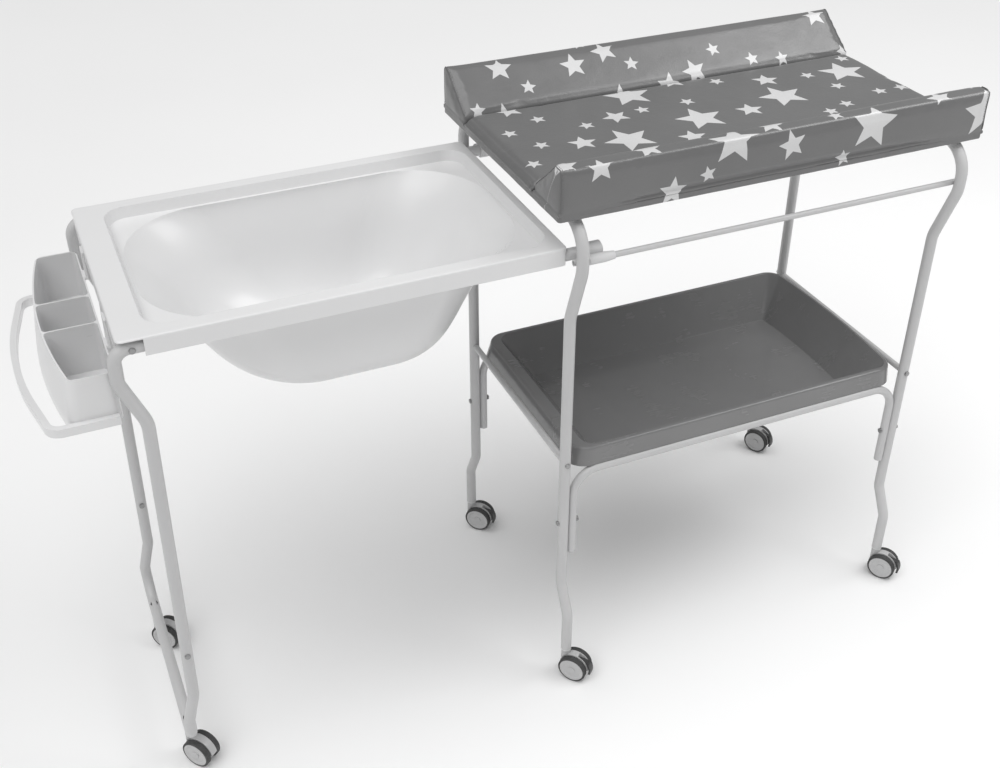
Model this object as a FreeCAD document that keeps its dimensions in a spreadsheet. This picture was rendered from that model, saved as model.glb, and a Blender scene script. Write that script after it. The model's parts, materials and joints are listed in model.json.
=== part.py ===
import FreeCAD, Part

import math
import os

import Sketcher
from FreeCAD import Placement, Rotation, Vector

# Baby changing table with a sliding bath. Millimetres, +Z up, X along the table, Y front (-) to back (+).
# Every piece is drawn about the middle of the main frame on the floor. The last section moves the whole
# table so that the origin lies on the floor under the middle of its overall box.

doc = FreeCAD.newDocument("ChangingTable")
sheet = doc.addObject("Spreadsheet::Sheet", "Sizes")

SIZES = [
    # main frame
    ("hoop_span", 726, "distance between the two hoops, centre to centre"),
    ("bar_height", 967, "centre of the hoop's top bar above the floor"),
    ("leg_spread", 418, "front leg to back leg, straight part"),
    ("bulge_spread", 492, "front to back where the hoop is widest"),
    ("foot_spread", 480, "front to back at the casters"),
    ("tube_od", 20, "main tube, outside"),
    ("tube_wall", 1.2, "wall of every main tube"),
    ("leg_joint", 278, "height where the lower legs plug in"),
    ("neck_length", 36, "length of each plug-in neck"),
    ("neck_play", 0.1, "neck to tube, radial"),
    ("knee_top", 208, "height where the leg starts to kick out"),
    ("knee_bottom", 150, "height where the leg is upright again"),
    ("leg_end", 66, "height of the open lower end of a leg"),
    ("bulge_drop", 78, "bar centre down to the bulge's shoulder"),
    ("bulge_start", 182, "bar centre down to where the bulge starts"),
    ("hoop_bend", 52, "bend radius under the top bar"),
    ("soft_bend", 60, "bend radius of the gentle bends"),
    # shelf
    ("rail_od", 16, "shelf rail and its turned-down ends"),
    ("rail_height", 462, "centre of the shelf rails"),
    ("rail_bend", 48, "bend radius of the shelf rails"),
    ("rail_drop", 180, "length of the turned-down ends"),
    ("cross_od", 12, "cross bar"),
    ("cross_rise", 28, "rail centre up to the cross bars"),
    ("rail_screw_drop", 107, "rail centre down to its screws"),
    # guide rods
    ("rod_od", 10, "guide rod"),
    ("rod_drop", 67, "bar centre down to the guide rod"),
    ("rod_overhang", 9, "guide rod beyond the hoop's centre"),
    # changer
    ("changer_length", 800, "changing mat, along X"),
    ("changer_width", 476, "changing mat, front to back"),
    ("changer_shift", -3, "middle of the mat from the middle of the frame"),
    ("seat_gap", 0.3, "clearance of loose pieces at rest"),
    ("board_thick", 8, "board under the mat"),
    ("board_inset", 4, "board edge inside the mat's edge"),
    ("mat_thick", 20, "middle of the mat"),
    ("bolster_width", 96, "foot of a side bolster"),
    ("bolster_height", 80, "side bolster"),
    ("bolster_top", 22, "flat top of a side bolster"),
    ("clip_wall", 3, "locating clip"),
    ("clip_depth", 15, "how far a clip reaches down beside the bar"),
    ("clip_length", 30, "locating clip along the bar"),
    ("clip_spread", 260, "clips, front to back"),
    # storage tray
    ("tray_gap_left", 7, "tray to the left cross bar"),
    ("tray_gap_right", 10, "corners of the tray's right end to the right cross bar"),
    ("tray_bow", 8, "bow of the tray's right end"),
    ("tray_over", 3, "tray rim beyond the rails' middle"),
    ("tray_rim_side", 13, "rim width, long sides"),
    ("tray_rim_left", 32, "rim width, left end"),
    ("tray_rim_right", 11, "rim width, right end"),
    ("tray_lean_left", 11, "lean of the rim's left flank"),
    ("tray_lean", 4, "lean of the rim's other flanks"),
    ("tray_rim_height", 36, "height of the turned-down rim"),
    ("tray_depth", 80, "depth of the tray under its rim"),
    ("tray_taper", 55, "how far the walls draw in"),
    ("tray_wall", 3, "wall of the tray"),
    ("tray_corner", 40, "corner radius of the tray"),
    ("tray_roll", 5, "rounding of the rim's outer edge"),
    # bath
    ("bath_length", 688, "bath rim, along X"),
    ("bath_side_gap", 3, "bath to the guide rods"),
    ("bath_end_gap", 14, "bath's right end to the left hoop's centre"),
    ("rim_drop", 43, "bar centre down to the top of the bath rim"),
    ("bath_wall", 3, "wall of the bath"),
    ("skirt_height", 30, "turned-down edge of the bath"),
    ("skirt_wall", 2.5, "wall of the turned-down edge"),
    ("rim_corner", 10, "corner radius of the rim"),
    ("rim_roll", 3, "rounding of the rim's outer edge"),
    ("well_corner", 38, "corner radius inside the rim"),
    ("well_draft", 6, "how far the walls inside the rim draw in"),
    ("rim_left", 45, "rim width, left end"),
    ("rim_right", 15, "rim width, right end"),
    ("ledge_drop", 18, "rim top down to the inner ledge"),
    ("ledge_width", 11, "inner ledge round the bowl"),
    ("bowl_depth", 216, "rim top down to the bowl's underside"),
    ("notch_length", 38, "skirt cut away at the left corners"),
    ("notch_width", 36, "skirt cut away at the left corners, front to back"),
    ("left_screw_inset", 21, "left bath screws from the bath's left end"),
    ("right_screw_inset", 40, "right bath screws from the bath's right end"),
    ("pad_length", 16, "bath's rests on the rails, along X"),
    ("pad_width", 12, "bath's rests on the rails, front to back"),
    ("slot_width", 30, "hook slot in the bath's left skirt"),
    ("slot_height", 9, "hook slot in the bath's left skirt"),
    ("slot_spread", 220, "hook slots, centre to centre"),
    ("drain_shift", 40, "drain right of the bath's middle"),
    ("drain_bore", 17, "radius of the drain hole"),
    ("outlet_length", 22, "waste outlet below the bowl"),
    ("outlet_flange", 7, "flange of the waste outlet"),
    ("pull_ring", 6, "ring on the plug"),
    # bath frame
    ("bath_rail_drop", 62, "bar centre down to the bath rails"),
    ("bath_rail_tip", 2, "bath rails beyond their slider"),
    ("bath_leg_out", 6, "centre of the bath legs beyond the bath's left end"),
    ("bath_leg_set", 30, "how far the bath legs step back in"),
    ("bath_leg_hang", 54, "bath rail down to where the leg steps in"),
    ("bath_leg_step", 130, "bath rail down to where the leg is straight"),
    ("bath_joint_set", 11, "joint outside the straight part of the leg"),
    ("bath_foot_set", 2, "bath caster stems inside the legs' foremost part"),
    ("bath_joint", 290, "height where the lower bath frame plugs in"),
    ("bath_bar_height", 92, "centre of the lower bath frame's bar"),
    ("bath_foot_spread", 310, "bath casters, front to back"),
    ("bath_bend", 24, "bend radius at the top of the bath legs"),
    ("step_bend", 42, "bend radius where the bath legs step in"),
    ("foot_bend", 46, "bend radius of the lower bath frame"),
    ("sleeve_od", 18, "caster sleeve under the lower bar"),
    ("sleeve_wall", 2, "caster sleeve under the lower bar"),
    # slider
    ("slider_length", 30, "slider along the guide rod"),
    ("slider_wall", 3.5, "slider round the guide rod"),
    ("slider_gap", 6, "slider to the left hoop when the bath is out"),
    ("slider_nose", 16, "tapered end of the slider"),
    ("running_play", 0.06, "radial clearance of sliding and turning fits"),
    # organiser
    ("box_side_gap", 5, "organiser to the bath legs"),
    ("box_width", 64, "organiser at its ends, along X"),
    ("box_bow", 21, "bow of the organiser's outer wall"),
    ("box_lean", 11, "lean of the organiser's outer wall"),
    ("box_height", 84, "organiser, depth outside"),
    ("box_drop", 105, "bar centre down to the organiser's rim"),
    ("box_gap", 6, "organiser to the bath's left end"),
    ("box_wall", 2.5, "wall of the organiser"),
    ("divider_back", 38, "back divider from the middle"),
    ("divider_front", -48, "front divider from the middle"),
    ("towel_reach", 38, "towel bar's corners outside the organiser"),
    ("towel_bow", 27, "bow of the towel bar"),
    ("towel_thick", 10, "towel bar, plan"),
    ("towel_height", 14, "towel bar, upright"),
    ("hook_thick", 3, "organiser hooks"),
    # casters
    ("wheel_radius", 28, "caster wheel"),
    ("wheel_width", 11, "caster wheel"),
    ("hub_radius", 24, "light disc of the wheel"),
    ("trail", 20, "stem to axle"),
    ("web_width", 14, "caster body between its wheels"),
    ("wheel_play", 0.6, "caster body to wheel"),
    ("web_inset", 3, "lower half of the caster body inside the tread"),
    ("web_rise", 1, "upper half of the caster body beyond the tread"),
    ("lever_gap", 3, "brake lever outside the tread"),
    ("lever_thick", 4, "brake lever"),
    ("lever_back", 11, "lever pivot behind the axle"),
    ("lever_rise", 17, "lever pivot above the axle"),
    ("lever_drop", 8, "lower end of the lever below the axle"),
    ("lever_pin", 2, "radius of the brake lever's pivot"),
    ("lever_cheek", 1.8, "caster body beside the brake lever"),
    ("caster_height", 62, "top of the caster body"),
    ("socket_flange", 3, "flange of the plug that holds the stem"),
    ("pin_fit", 0.02, "pressed pin in its bore, radial"),
    ("boss_wall", 4, "caster body round the stem"),
    ("lever_play", 0.4, "brake lever between its cheeks"),
    ("stem_radius", 5, "caster stem"),
    ("stem_length", 32, "caster stem above the body"),
    ("axle_radius", 3, "caster axle"),
    # fasteners
    ("screw_radius", 2.5, "screw shank"),
    ("screw_play", 0.1, "screw to hole, radial"),
    ("screw_bite", 24, "cross bar screw inside its bar"),
    ("head_radius", 5, "screw head"),
    ("head_height", 3, "screw head"),
]
for row, (alias, number, note) in enumerate(SIZES, start=1):
    sheet.set(f"A{row}", note)
    sheet.set(f"B{row}", str(number))
    sheet.setAlias(f"B{row}", alias)
doc.recompute()


def size(alias):
    """A driving dimension from the sheet."""
    return float(sheet.get(alias))


# ---------------------------------------------------------------- helpers: bound primitives

def bind(piece, **formulas):
    """Bind properties of a piece to formulas of the sheet's aliases."""
    for name, formula in formulas.items():
        for alias, _, _ in ALIASES_LONG_FIRST:
            formula = formula.replace(f"<{alias}>", f"Sizes.{alias}")
        piece.setExpression(name.replace("__", "."), formula)
    return piece


ALIASES_LONG_FIRST = sorted(SIZES, key=lambda entry: -len(entry[0]))


def place(piece, x="0", y="0", z="0", rotation=None):
    """Bind where a primitive stands; its turn is fixed."""
    if rotation is not None:
        piece.Placement = Placement(Vector(), rotation)
    return bind(piece, Placement__Base__x=x, Placement__Base__y=y, Placement__Base__z=z)


ALONG_X = Rotation(Vector(0, 1, 0), 90)
ALONG_Y = Rotation(Vector(1, 0, 0), -90)


def box(name, length, width, height, x="0", y="0", z="0"):
    """Block whose low corner is at x, y, z."""
    piece = doc.addObject("Part::Box", name)
    bind(piece, Length=length, Width=width, Height=height)
    return place(piece, x, y, z)


def rod(name, radius, height, x="0", y="0", z="0", rotation=None):
    """Cylinder that starts at x, y, z."""
    piece = doc.addObject("Part::Cylinder", name)
    bind(piece, Radius=radius, Height=height)
    return place(piece, x, y, z, rotation)


def fuse(name, pieces):
    piece = doc.addObject("Part::MultiFuse", name)
    piece.Shapes = pieces
    return piece


def cut(name, base, tool):
    piece = doc.addObject("Part::Cut", name)
    piece.Base = base
    piece.Tool = tool
    return piece


def mirrored(name, source, normal):
    piece = doc.addObject("Part::Mirroring", name)
    piece.Source = source
    piece.Normal = normal
    return piece


def group(name, pieces):
    """Several separate solids in one sub-part."""
    piece = doc.addObject("Part::Compound", name)
    piece.Links = pieces
    return piece


def shaped(name, shape):
    """Sub-part whose shape no primitive or body gives, worked out from the sheet's sizes."""
    piece = doc.addObject("Part::Feature", name)
    piece.Shape = shape
    return piece


# ---------------------------------------------------------------- helpers: bodies with sketches

def outline_body(name, plane, corners, depth, start):
    """Body padded from a closed outline of straight sides, each corner a pair of formulas."""
    body = doc.addObject("PartDesign::Body", name)
    sketch = body.newObject("Sketcher::SketchObject", name + "_outline")
    planes = [part for part in body.Origin.OriginFeatures if part.Role == plane]
    sketch.AttachmentSupport = [(planes[0], "")]
    sketch.MapMode = "FlatFace"
    bind(sketch, AttachmentOffset__Base__z=start)
    guesses = [Vector(evaluate(x), evaluate(y), 0) for x, y in corners]
    count = len(corners)
    for index in range(count):
        sketch.addGeometry(Part.LineSegment(guesses[index], guesses[(index + 1) % count]))
    for index in range(count):
        sketch.addConstraint(Sketcher.Constraint("Coincident", index, 2, (index + 1) % count, 1))
    for index, pair in enumerate(corners):
        for kind, formula in zip(("DistanceX", "DistanceY"), pair):
            number = sketch.addConstraint(Sketcher.Constraint(kind, -1, 1, index, 1, evaluate(formula)))
            bind(sketch, **{f"Constraints[{number}]": formula})
    pad = body.newObject("PartDesign::Pad", name + "_pad")
    pad.Profile = sketch
    bind(pad, Length=depth)
    doc.recompute()
    return body


def evaluate(formula):
    """Value of a formula of the sheet's aliases, for a sketch's first guess."""
    for alias, _, _ in ALIASES_LONG_FIRST:
        formula = formula.replace(f"<{alias}>", f"Sizes.{alias}")
    return float(sheet.evalExpression(formula))


def round_edges(body, name, radius, chosen):
    """Fillet the chosen edges of a body's tip."""
    tip = body.Tip
    names = [f"Edge{n}" for n, edge in enumerate(tip.Shape.Edges, start=1) if chosen(edge)]
    fillet = body.newObject("PartDesign::Fillet", name)
    fillet.Base = (tip, names)
    bind(fillet, Radius=radius)
    doc.recompute()


def runs_along(axis):
    """Test for straight edges along an axis."""
    def test(edge):
        straight = isinstance(edge.Curve, Part.Line)
        return straight and abs(edge.tangentAt(edge.FirstParameter).dot(axis)) > 0.999
    return test


# ---------------------------------------------------------------- helpers: bent tubes

def bent_path(points, bends):
    """Straight runs through the points, joined by tangent arcs of the given radii."""
    edges = []
    start = points[0]
    for before, corner, after, bend in zip(points, points[1:], points[2:], bends):
        back = (before - corner).normalize()
        ahead = (after - corner).normalize()
        half_turn = (math.pi - back.getAngle(ahead)) / 2
        reach = bend * math.tan(half_turn)
        inward = (back + ahead).normalize()
        middle = corner + inward * (bend / math.cos(half_turn) - bend)
        edges.append(Part.LineSegment(start, corner + back * reach).toShape())
        edges.append(Part.Arc(corner + back * reach, middle, corner + ahead * reach).toShape())
        start = corner + ahead * reach
    edges.append(Part.LineSegment(start, points[-1]).toShape())
    return Part.Wire(edges)


def swept(path, profile):
    """Solid of a closed profile carried along a path."""
    return path.makePipeShell([profile], True, True)


def circle_at(centre, normal, radius):
    return Part.Wire([Part.makeCircle(radius, centre, normal)])


def bent_tube(points, bends, outer, wall):
    """Hollow round tube along bent_path."""
    path = bent_path(points, bends)
    ahead = (points[1] - points[0]).normalize()
    skin = swept(path, circle_at(points[0], ahead, outer))
    bore = swept(path, circle_at(points[0], ahead, outer - wall))
    return skin.cut(bore)


def bar_between(start, end, radius):
    return Part.makeCylinder(radius, (end - start).Length, start, end - start)


def softened(shape, radius, height):
    """The shape with every edge that lies level at a height rounded."""
    edges = []
    for edge in shape.Edges:
        extent = edge.BoundBox
        if max(abs(extent.ZMin - height), abs(extent.ZMax - height)) < 0.01:
            edges.append(edge)
    return shape.makeFillet(radius, edges)


def neck(top, direction, inner):
    """Plug-in neck that stands on the end of a tube, open inside like the tube."""
    outer = inner - size("neck_play")
    root = top - direction * (2 * size("tube_wall"))
    tip = top + direction * size("neck_length")
    shell = bar_between(root, tip, outer).fuse(bar_between(root, top, inner + size("tube_wall") / 2))
    return shell.cut(bar_between(root, tip, outer - size("tube_wall")))


def rounded_rectangle(low_x, high_x, half_y, radius, height):
    """Closed wire of four sides and four corner arcs, level at a height."""
    limit = min(high_x - low_x, 2 * half_y) / 2 - 1
    bend = min(radius, limit)
    cut45 = bend * (1 - math.sqrt(0.5))
    sides = [
        (Vector(low_x + bend, -half_y, height), Vector(high_x - bend, -half_y, height)),
        (Vector(high_x, -half_y + bend, height), Vector(high_x, half_y - bend, height)),
        (Vector(high_x - bend, half_y, height), Vector(low_x + bend, half_y, height)),
        (Vector(low_x, half_y - bend, height), Vector(low_x, -half_y + bend, height)),
    ]
    middles = [
        Vector(high_x - cut45, -half_y + cut45, height),
        Vector(high_x - cut45, half_y - cut45, height),
        Vector(low_x + cut45, half_y - cut45, height),
        Vector(low_x + cut45, -half_y + cut45, height),
    ]
    edges = []
    for index, (start, end) in enumerate(sides):
        edges.append(Part.LineSegment(start, end).toShape())
        following = sides[(index + 1) % 4][0]
        edges.append(Part.Arc(end, middles[index], following).toShape())
    return Part.Wire(edges)


def slab(wire, height):
    return Part.Face(wire).extrude(Vector(0, 0, height))


# ---------------------------------------------------------------- places shared by several pieces

HOOP_X = size("hoop_span") / 2
BAR = size("bar_height")
LEG_Y = size("leg_spread") / 2
BULGE_Y = size("bulge_spread") / 2
FOOT_Y = size("foot_spread") / 2
TUBE = size("tube_od") / 2
WALL = size("tube_wall")
SCREW = size("screw_radius")
HOLE = SCREW + size("screw_play")
JOINT = size("leg_joint")
CROSS_Z = size("rail_height") + size("cross_rise")
RAIL = size("rail_od") / 2
RAIL_X = HOOP_X - TUBE - RAIL
RAIL_SCREW_Z = size("rail_height") - size("rail_screw_drop")
ROD = size("rod_od") / 2
ROD_Y = BULGE_Y - TUBE - ROD - size("neck_play") / 2
ROD_Z = BAR - size("rod_drop")
SIDES = {"left": -1, "right": 1}
ENDS = {"front": -1, "back": 1}


# ---------------------------------------------------------------- main frame

def hoop(name, side):
    """One tube from the front leg joint over the top bar to the back leg joint."""
    x = side * HOOP_X
    front = [
        Vector(x, -LEG_Y, JOINT),
        Vector(x, -LEG_Y, BAR - size("bulge_start")),
        Vector(x, -BULGE_Y, BAR - size("bulge_drop")),
        Vector(x, -BULGE_Y, BAR),
    ]
    points = front + [Vector(p.x, -p.y, p.z) for p in reversed(front)]
    bends = [size("soft_bend"), size("soft_bend"), size("hoop_bend")]
    tube = bent_tube(points, bends + bends[::-1], TUBE, WALL)
    for end in ENDS.values():
        outside = Vector(x, end * (LEG_Y + 2 * TUBE), CROSS_Z)
        tube = tube.cut(bar_between(outside, Vector(x, end * (LEG_Y - 2 * TUBE), CROSS_Z), HOLE))
        outside = Vector(x + side * 2 * TUBE, end * LEG_Y, RAIL_SCREW_Z)
        tube = tube.cut(bar_between(outside, Vector(x - side * 2 * TUBE, end * LEG_Y, RAIL_SCREW_Z), HOLE))
    return shaped(name, tube)


def lower_leg(name, side, end):
    """Leg below the joint, kicked outwards to its caster."""
    x = side * HOOP_X
    points = [
        Vector(x, end * LEG_Y, JOINT),
        Vector(x, end * LEG_Y, size("knee_top")),
        Vector(x, end * FOOT_Y, size("knee_bottom")),
        Vector(x, end * FOOT_Y, size("leg_end")),
    ]
    tube = bent_tube(points, [size("soft_bend") / 2] * 2, TUBE, WALL)
    return shaped(name, tube.fuse(neck(points[0], Vector(0, 0, 1), TUBE - WALL)))


def shelf_rail(name, end):
    """Rail along X whose ends turn down beside the legs."""
    y = end * LEG_Y
    level = size("rail_height")
    foot = level - size("rail_drop")
    points = [Vector(-RAIL_X, y, foot), Vector(-RAIL_X, y, level)]
    points += [Vector(RAIL_X, y, level), Vector(RAIL_X, y, foot)]
    tube = bent_tube(points, [size("rail_bend")] * 2, RAIL, WALL)
    for side in SIDES.values():
        near = Vector(side * (RAIL_X + 2 * RAIL), y, RAIL_SCREW_Z)
        far = Vector(side * (RAIL_X - 2 * RAIL), y, RAIL_SCREW_Z)
        tube = tube.cut(bar_between(near, far, HOLE))
    return shaped(name, tube)


def cross_bars():
    """Two bars from front leg to back leg, tapped at their ends."""
    bars = []
    level = "<rail_height> + <cross_rise>"
    for side_name, side in SIDES.items():
        x = f"{side} * <hoop_span> / 2"
        bar = rod(f"cross_bar_{side_name}", "<cross_od> / 2", "<leg_spread> - <tube_od> - 2 * <neck_play>", x,
                  "-(<leg_spread> - <tube_od>) / 2 + <neck_play>", level, ALONG_Y)
        bore = rod(f"cross_bar_bore_{side_name}", "<screw_radius> + <screw_play>", "<leg_spread>", x,
                   "-<leg_spread> / 2", level, ALONG_Y)
        bars.append(cut(f"cross_bar_drilled_{side_name}", bar, bore))
    return group("shelf_cross_bars", bars)


def guide_rod(name, end):
    """Straight tube along the insides of the two hoops' bulges."""
    length = "<hoop_span> + 2 * <rod_overhang>"
    low = "-<hoop_span> / 2 - <rod_overhang>"
    y = f"{end} * (<bulge_spread> / 2 - <tube_od> / 2 - <rod_od> / 2 - <neck_play> / 2)"
    z = "<bar_height> - <rod_drop>"
    skin = rod(name + "_skin", "<rod_od> / 2", length, low, y, z, ALONG_X)
    bore = rod(name + "_bore", "<rod_od> / 2 - <tube_wall>", length, low, y, z, ALONG_X)
    return cut(name, skin, bore)


def screw(name, start, direction, length, nut=False):
    """Pan-head screw: the head sits at the start, the shank runs along the direction."""
    thick = size("head_height")
    head = Part.makeCylinder(size("head_radius"), thick, start, direction * -1)
    crown = start - direction * thick
    rim = [edge for edge in head.Edges if abs((edge.CenterOfMass - crown).dot(direction)) < 0.01]
    head = head.makeFillet(thick * 0.55, rim)
    end = start + direction * length
    body = head.fuse(bar_between(start, end, SCREW))
    if nut:
        body = body.fuse(bar_between(end - direction * thick, end, size("head_radius")))
    return shaped(name, body)


def frame_screws():
    """Cross bar screws and rail bolts at every leg."""
    screws = []
    for side_name, side in SIDES.items():
        x = side * HOOP_X
        for end_name, end in ENDS.items():
            tag = f"{end_name}_{side_name}"
            cross_start = Vector(x, end * (LEG_Y + TUBE), CROSS_Z)
            reach = 2 * TUBE + size("screw_bite")
            screws.append(screw("cross_screw_" + tag, cross_start, Vector(0, -end, 0), reach))
            rail_start = Vector(x + side * TUBE, end * LEG_Y, RAIL_SCREW_Z)
            through = 2 * TUBE + 2 * RAIL + size("head_height")
            screws.append(screw("rail_bolt_" + tag, rail_start, Vector(-side, 0, 0), through, nut=True))
    return group("frame_screws", screws)


def caster_socket(name, x, y, tube_radius, flange_radius, depth):
    """Plastic plug in the end of a leg, with the bore that a caster stem turns in."""
    end_z = size("leg_end")
    mouth = Vector(x, y, end_z)
    top = mouth + Vector(0, 0, depth)
    flange = bar_between(mouth - Vector(0, 0, size("socket_flange")), mouth, flange_radius)
    plug = flange.fuse(bar_between(mouth, top, tube_radius))
    bore = size("stem_radius") + size("running_play")
    return shaped(name, plug.cut(bar_between(Vector(x, y, 0), top, bore)))


hoop("left_hoop", SIDES["left"])
hoop("right_hoop", SIDES["right"])
for end_name, end in ENDS.items():
    for side_name, side in SIDES.items():
        lower_leg(f"lower_leg_{end_name}_{side_name}", side, end)
    shelf_rail(f"shelf_rail_{end_name}", end)
    guide_rod(f"guide_rod_{end_name}", end)
cross_bars()
frame_screws()
group("leg_caster_sockets", [
    caster_socket(f"leg_socket_{end_name}_{side_name}", side * HOOP_X, end * FOOT_Y,
                  TUBE - WALL - size("neck_play"), TUBE, size("stem_length"))
    for end_name, end in ENDS.items() for side_name, side in SIDES.items()
])


# ---------------------------------------------------------------- changer top

BOARD_Z = "(<bar_height> + <tube_od> / 2 + <seat_gap>)"
MAT_Z = "(<bar_height> + <tube_od> / 2 + <seat_gap> + <board_thick> + <seat_gap>)"
MAT_LOW = "(<changer_shift> - <changer_length> / 2)"


def changer_board():
    """Flat board that lies across both hoops, with rounded corners."""
    low = f"{MAT_LOW} + <board_inset>"
    high = "<changer_shift> + <changer_length> / 2 - <board_inset>"
    half = "<changer_width> / 2 - <board_inset>"
    corners = [(low, f"-({half})"), (high, f"-({half})"), (high, half), (low, half)]
    body = outline_body("changer_board", "XY_Plane", corners, "<board_thick>", BOARD_Z)
    round_edges(body, "board_corners", "3 * <board_inset>", runs_along(Vector(0, 0, 1)))


def changer_mat():
    """Middle of the padded mat, between the two bolsters."""
    half = "<changer_width> / 2 - <bolster_width> - <seat_gap>"
    corners = [(f"-({half})", MAT_Z), (half, MAT_Z), (half, f"{MAT_Z} + <mat_thick>"),
               (f"-({half})", f"{MAT_Z} + <mat_thick>")]
    body = outline_body("changer_mat", "YZ_Plane", corners, "<changer_length>", MAT_LOW)
    round_edges(body, "mat_edges", "<mat_thick> / 5", runs_along(Vector(1, 0, 0)))


def bolster(name, end):
    """Raised wedge along the front or back of the mat: upright outside, sloping inside."""
    foot = f"{end} * <changer_width> / 2"
    inner = f"{end} * (<changer_width> / 2 - <bolster_width>)"
    shoulder = f"{end} * (<changer_width> / 2 - <bolster_top>)"
    crest = f"{MAT_Z} + <bolster_height>"
    surface = f"{MAT_Z} + <mat_thick>"
    corners = [(foot, MAT_Z), (foot, crest), (shoulder, crest), (inner, surface), (inner, MAT_Z)]
    if end > 0:
        corners.reverse()
    body = outline_body(name, "YZ_Plane", corners, "<changer_length>", MAT_LOW)
    top = evaluate(MAT_Z) + size("bolster_height")
    round_edges(body, name + "_edges", "<bolster_top> / 3",
                lambda edge: runs_along(Vector(1, 0, 0))(edge) and abs(edge.CenterOfMass.z - top) < 0.1)


def changer_clips():
    """Forks under the board that drop over the hoops' top bars."""
    clips = []
    for side_name, side in SIDES.items():
        for end_name, end in ENDS.items():
            tag = f"{side_name}_{end_name}"
            low_y = f"{end} * <clip_spread> / 2 - <clip_length> / 2"
            base = f"{BOARD_Z} - <clip_depth>"
            prongs = []
            for prong, toward in SIDES.items():
                inner = f"{side} * <hoop_span> / 2 + {toward} * (<tube_od> / 2 + <seat_gap>)"
                low_x = f"{inner} + {min(toward, 0)} * <clip_wall>"
                prongs.append(box(f"clip_{tag}_{prong}", "<clip_wall>", "<clip_length>", "<clip_depth>",
                                  low_x, low_y, base))
            clips += prongs
    return group("changer_clips", clips)


changer_board()
changer_mat()
for end_name, end in ENDS.items():
    bolster(f"{end_name}_bolster", end)
changer_clips()


# ---------------------------------------------------------------- storage tray

def bowed_outline(low_x, high_x, half_y, radius, bow, height):
    """Level outline with rounded corners whose right side bows outwards."""
    bend = min(radius, half_y - 1)
    cut45 = bend * (1 - math.sqrt(0.5))
    points = [
        Vector(low_x + bend, -half_y, height), Vector(high_x - bend, -half_y, height),
        Vector(high_x - cut45, -half_y + cut45, height), Vector(high_x, -half_y + bend, height),
        Vector(high_x + bow, 0, height), Vector(high_x, half_y - bend, height),
        Vector(high_x - cut45, half_y - cut45, height), Vector(high_x - bend, half_y, height),
        Vector(low_x + bend, half_y, height), Vector(low_x + cut45, half_y - cut45, height),
        Vector(low_x, half_y - bend, height), Vector(low_x, -half_y + bend, height),
        Vector(low_x + cut45, -half_y + cut45, height),
    ]
    edges = [
        Part.LineSegment(points[0], points[1]).toShape(),
        Part.Arc(points[1], points[2], points[3]).toShape(),
        Part.Arc(points[3], points[4], points[5]).toShape(),
        Part.Arc(points[5], points[6], points[7]).toShape(),
        Part.LineSegment(points[7], points[8]).toShape(),
        Part.Arc(points[8], points[9], points[10]).toShape(),
        Part.LineSegment(points[10], points[11]).toShape(),
        Part.Arc(points[11], points[12], points[0]).toShape(),
    ]
    return Part.Wire(edges)


def storage_tray():
    """Deep tray whose turned-down rim sits on the two shelf rails."""
    bar_face = HOOP_X - size("cross_od") / 2
    left = -bar_face + size("tray_gap_left")
    right = bar_face - size("tray_gap_right")
    half_y = LEG_Y + size("tray_over")
    wall = size("tray_wall")
    taper = size("tray_taper")
    lean = size("tray_lean")
    lean_left = size("tray_lean_left")
    rim_left = size("tray_rim_left")
    rim_right = size("tray_rim_right")
    rim_side = size("tray_rim_side")
    low = size("rail_height") + RAIL + size("seat_gap")
    top = low + size("tray_rim_height")
    floor = top - size("tray_depth")

    def outline(insets, more, height):
        """Outline drawn in by the left, right and side insets, and all round by a bit more."""
        from_left, from_right, from_side = [inset + more for inset in insets]
        bend = max(size("tray_corner") - from_side, 2 * wall)
        return bowed_outline(left + from_left, right - from_right, half_y - from_side, bend, size("tray_bow"),
                             height)

    edge = (0, 0, 0)
    leaning = (lean_left, lean, lean)
    mouth = (rim_left, rim_right, rim_side)
    rim = Part.makeLoft([outline(edge, 0, low), outline(leaning, 0, top)], True, True)
    rim = softened(rim, size("tray_roll"), top)
    hollow = Part.makeLoft([outline(edge, wall, low), outline(leaning, wall, top - wall)], True, True)
    underside = [outline(mouth, taper - wall, floor), outline(mouth, -wall, top - wall / 2)]
    basin = Part.makeLoft(underside, True, True)
    space = Part.makeLoft([outline(mouth, taper, floor + wall), outline(mouth, 0, top)], True, True)
    shell = rim.cut(hollow).fuse(basin).cut(space)
    return shaped("storage_tray", shell.removeSplitter())


storage_tray()


# ---------------------------------------------------------------- bath

RIM_TOP = BAR - size("rim_drop")
BATH_RIGHT = -HOOP_X - size("bath_end_gap")
BATH_LEFT = BATH_RIGHT - size("bath_length")
BATH_Y = ROD_Y - ROD - size("bath_side_gap")
BATH_RAIL_Y = BATH_Y - size("skirt_wall") - size("seat_gap") - TUBE
BATH_RAIL_Z = BAR - size("bath_rail_drop")
WELL_Y = BATH_RAIL_Y - TUBE - size("seat_gap") - size("bath_wall")
SLIDER_START = -HOOP_X + TUBE + size("slider_gap")
SLIDER_STOP = SLIDER_START + size("slider_length")
LEFT_SCREW_X = BATH_LEFT + size("left_screw_inset")
RIGHT_SCREW_X = BATH_RIGHT - size("right_screw_inset")
LEG_OUT_X = BATH_LEFT - size("bath_leg_out")
LEG_IN_X = LEG_OUT_X + size("bath_leg_set")
JOINT_X = LEG_IN_X - size("bath_joint_set")
FOOT_X = LEG_OUT_X + size("bath_foot_set")
JOINT_AT = Vector(JOINT_X, 0, size("bath_joint"))
SLOPE = (JOINT_AT - Vector(LEG_IN_X, 0, BATH_RAIL_Z - size("bath_leg_step"))).normalize()
DRAIN_X = (BATH_LEFT + BATH_RIGHT) / 2 + size("drain_shift")


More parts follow.
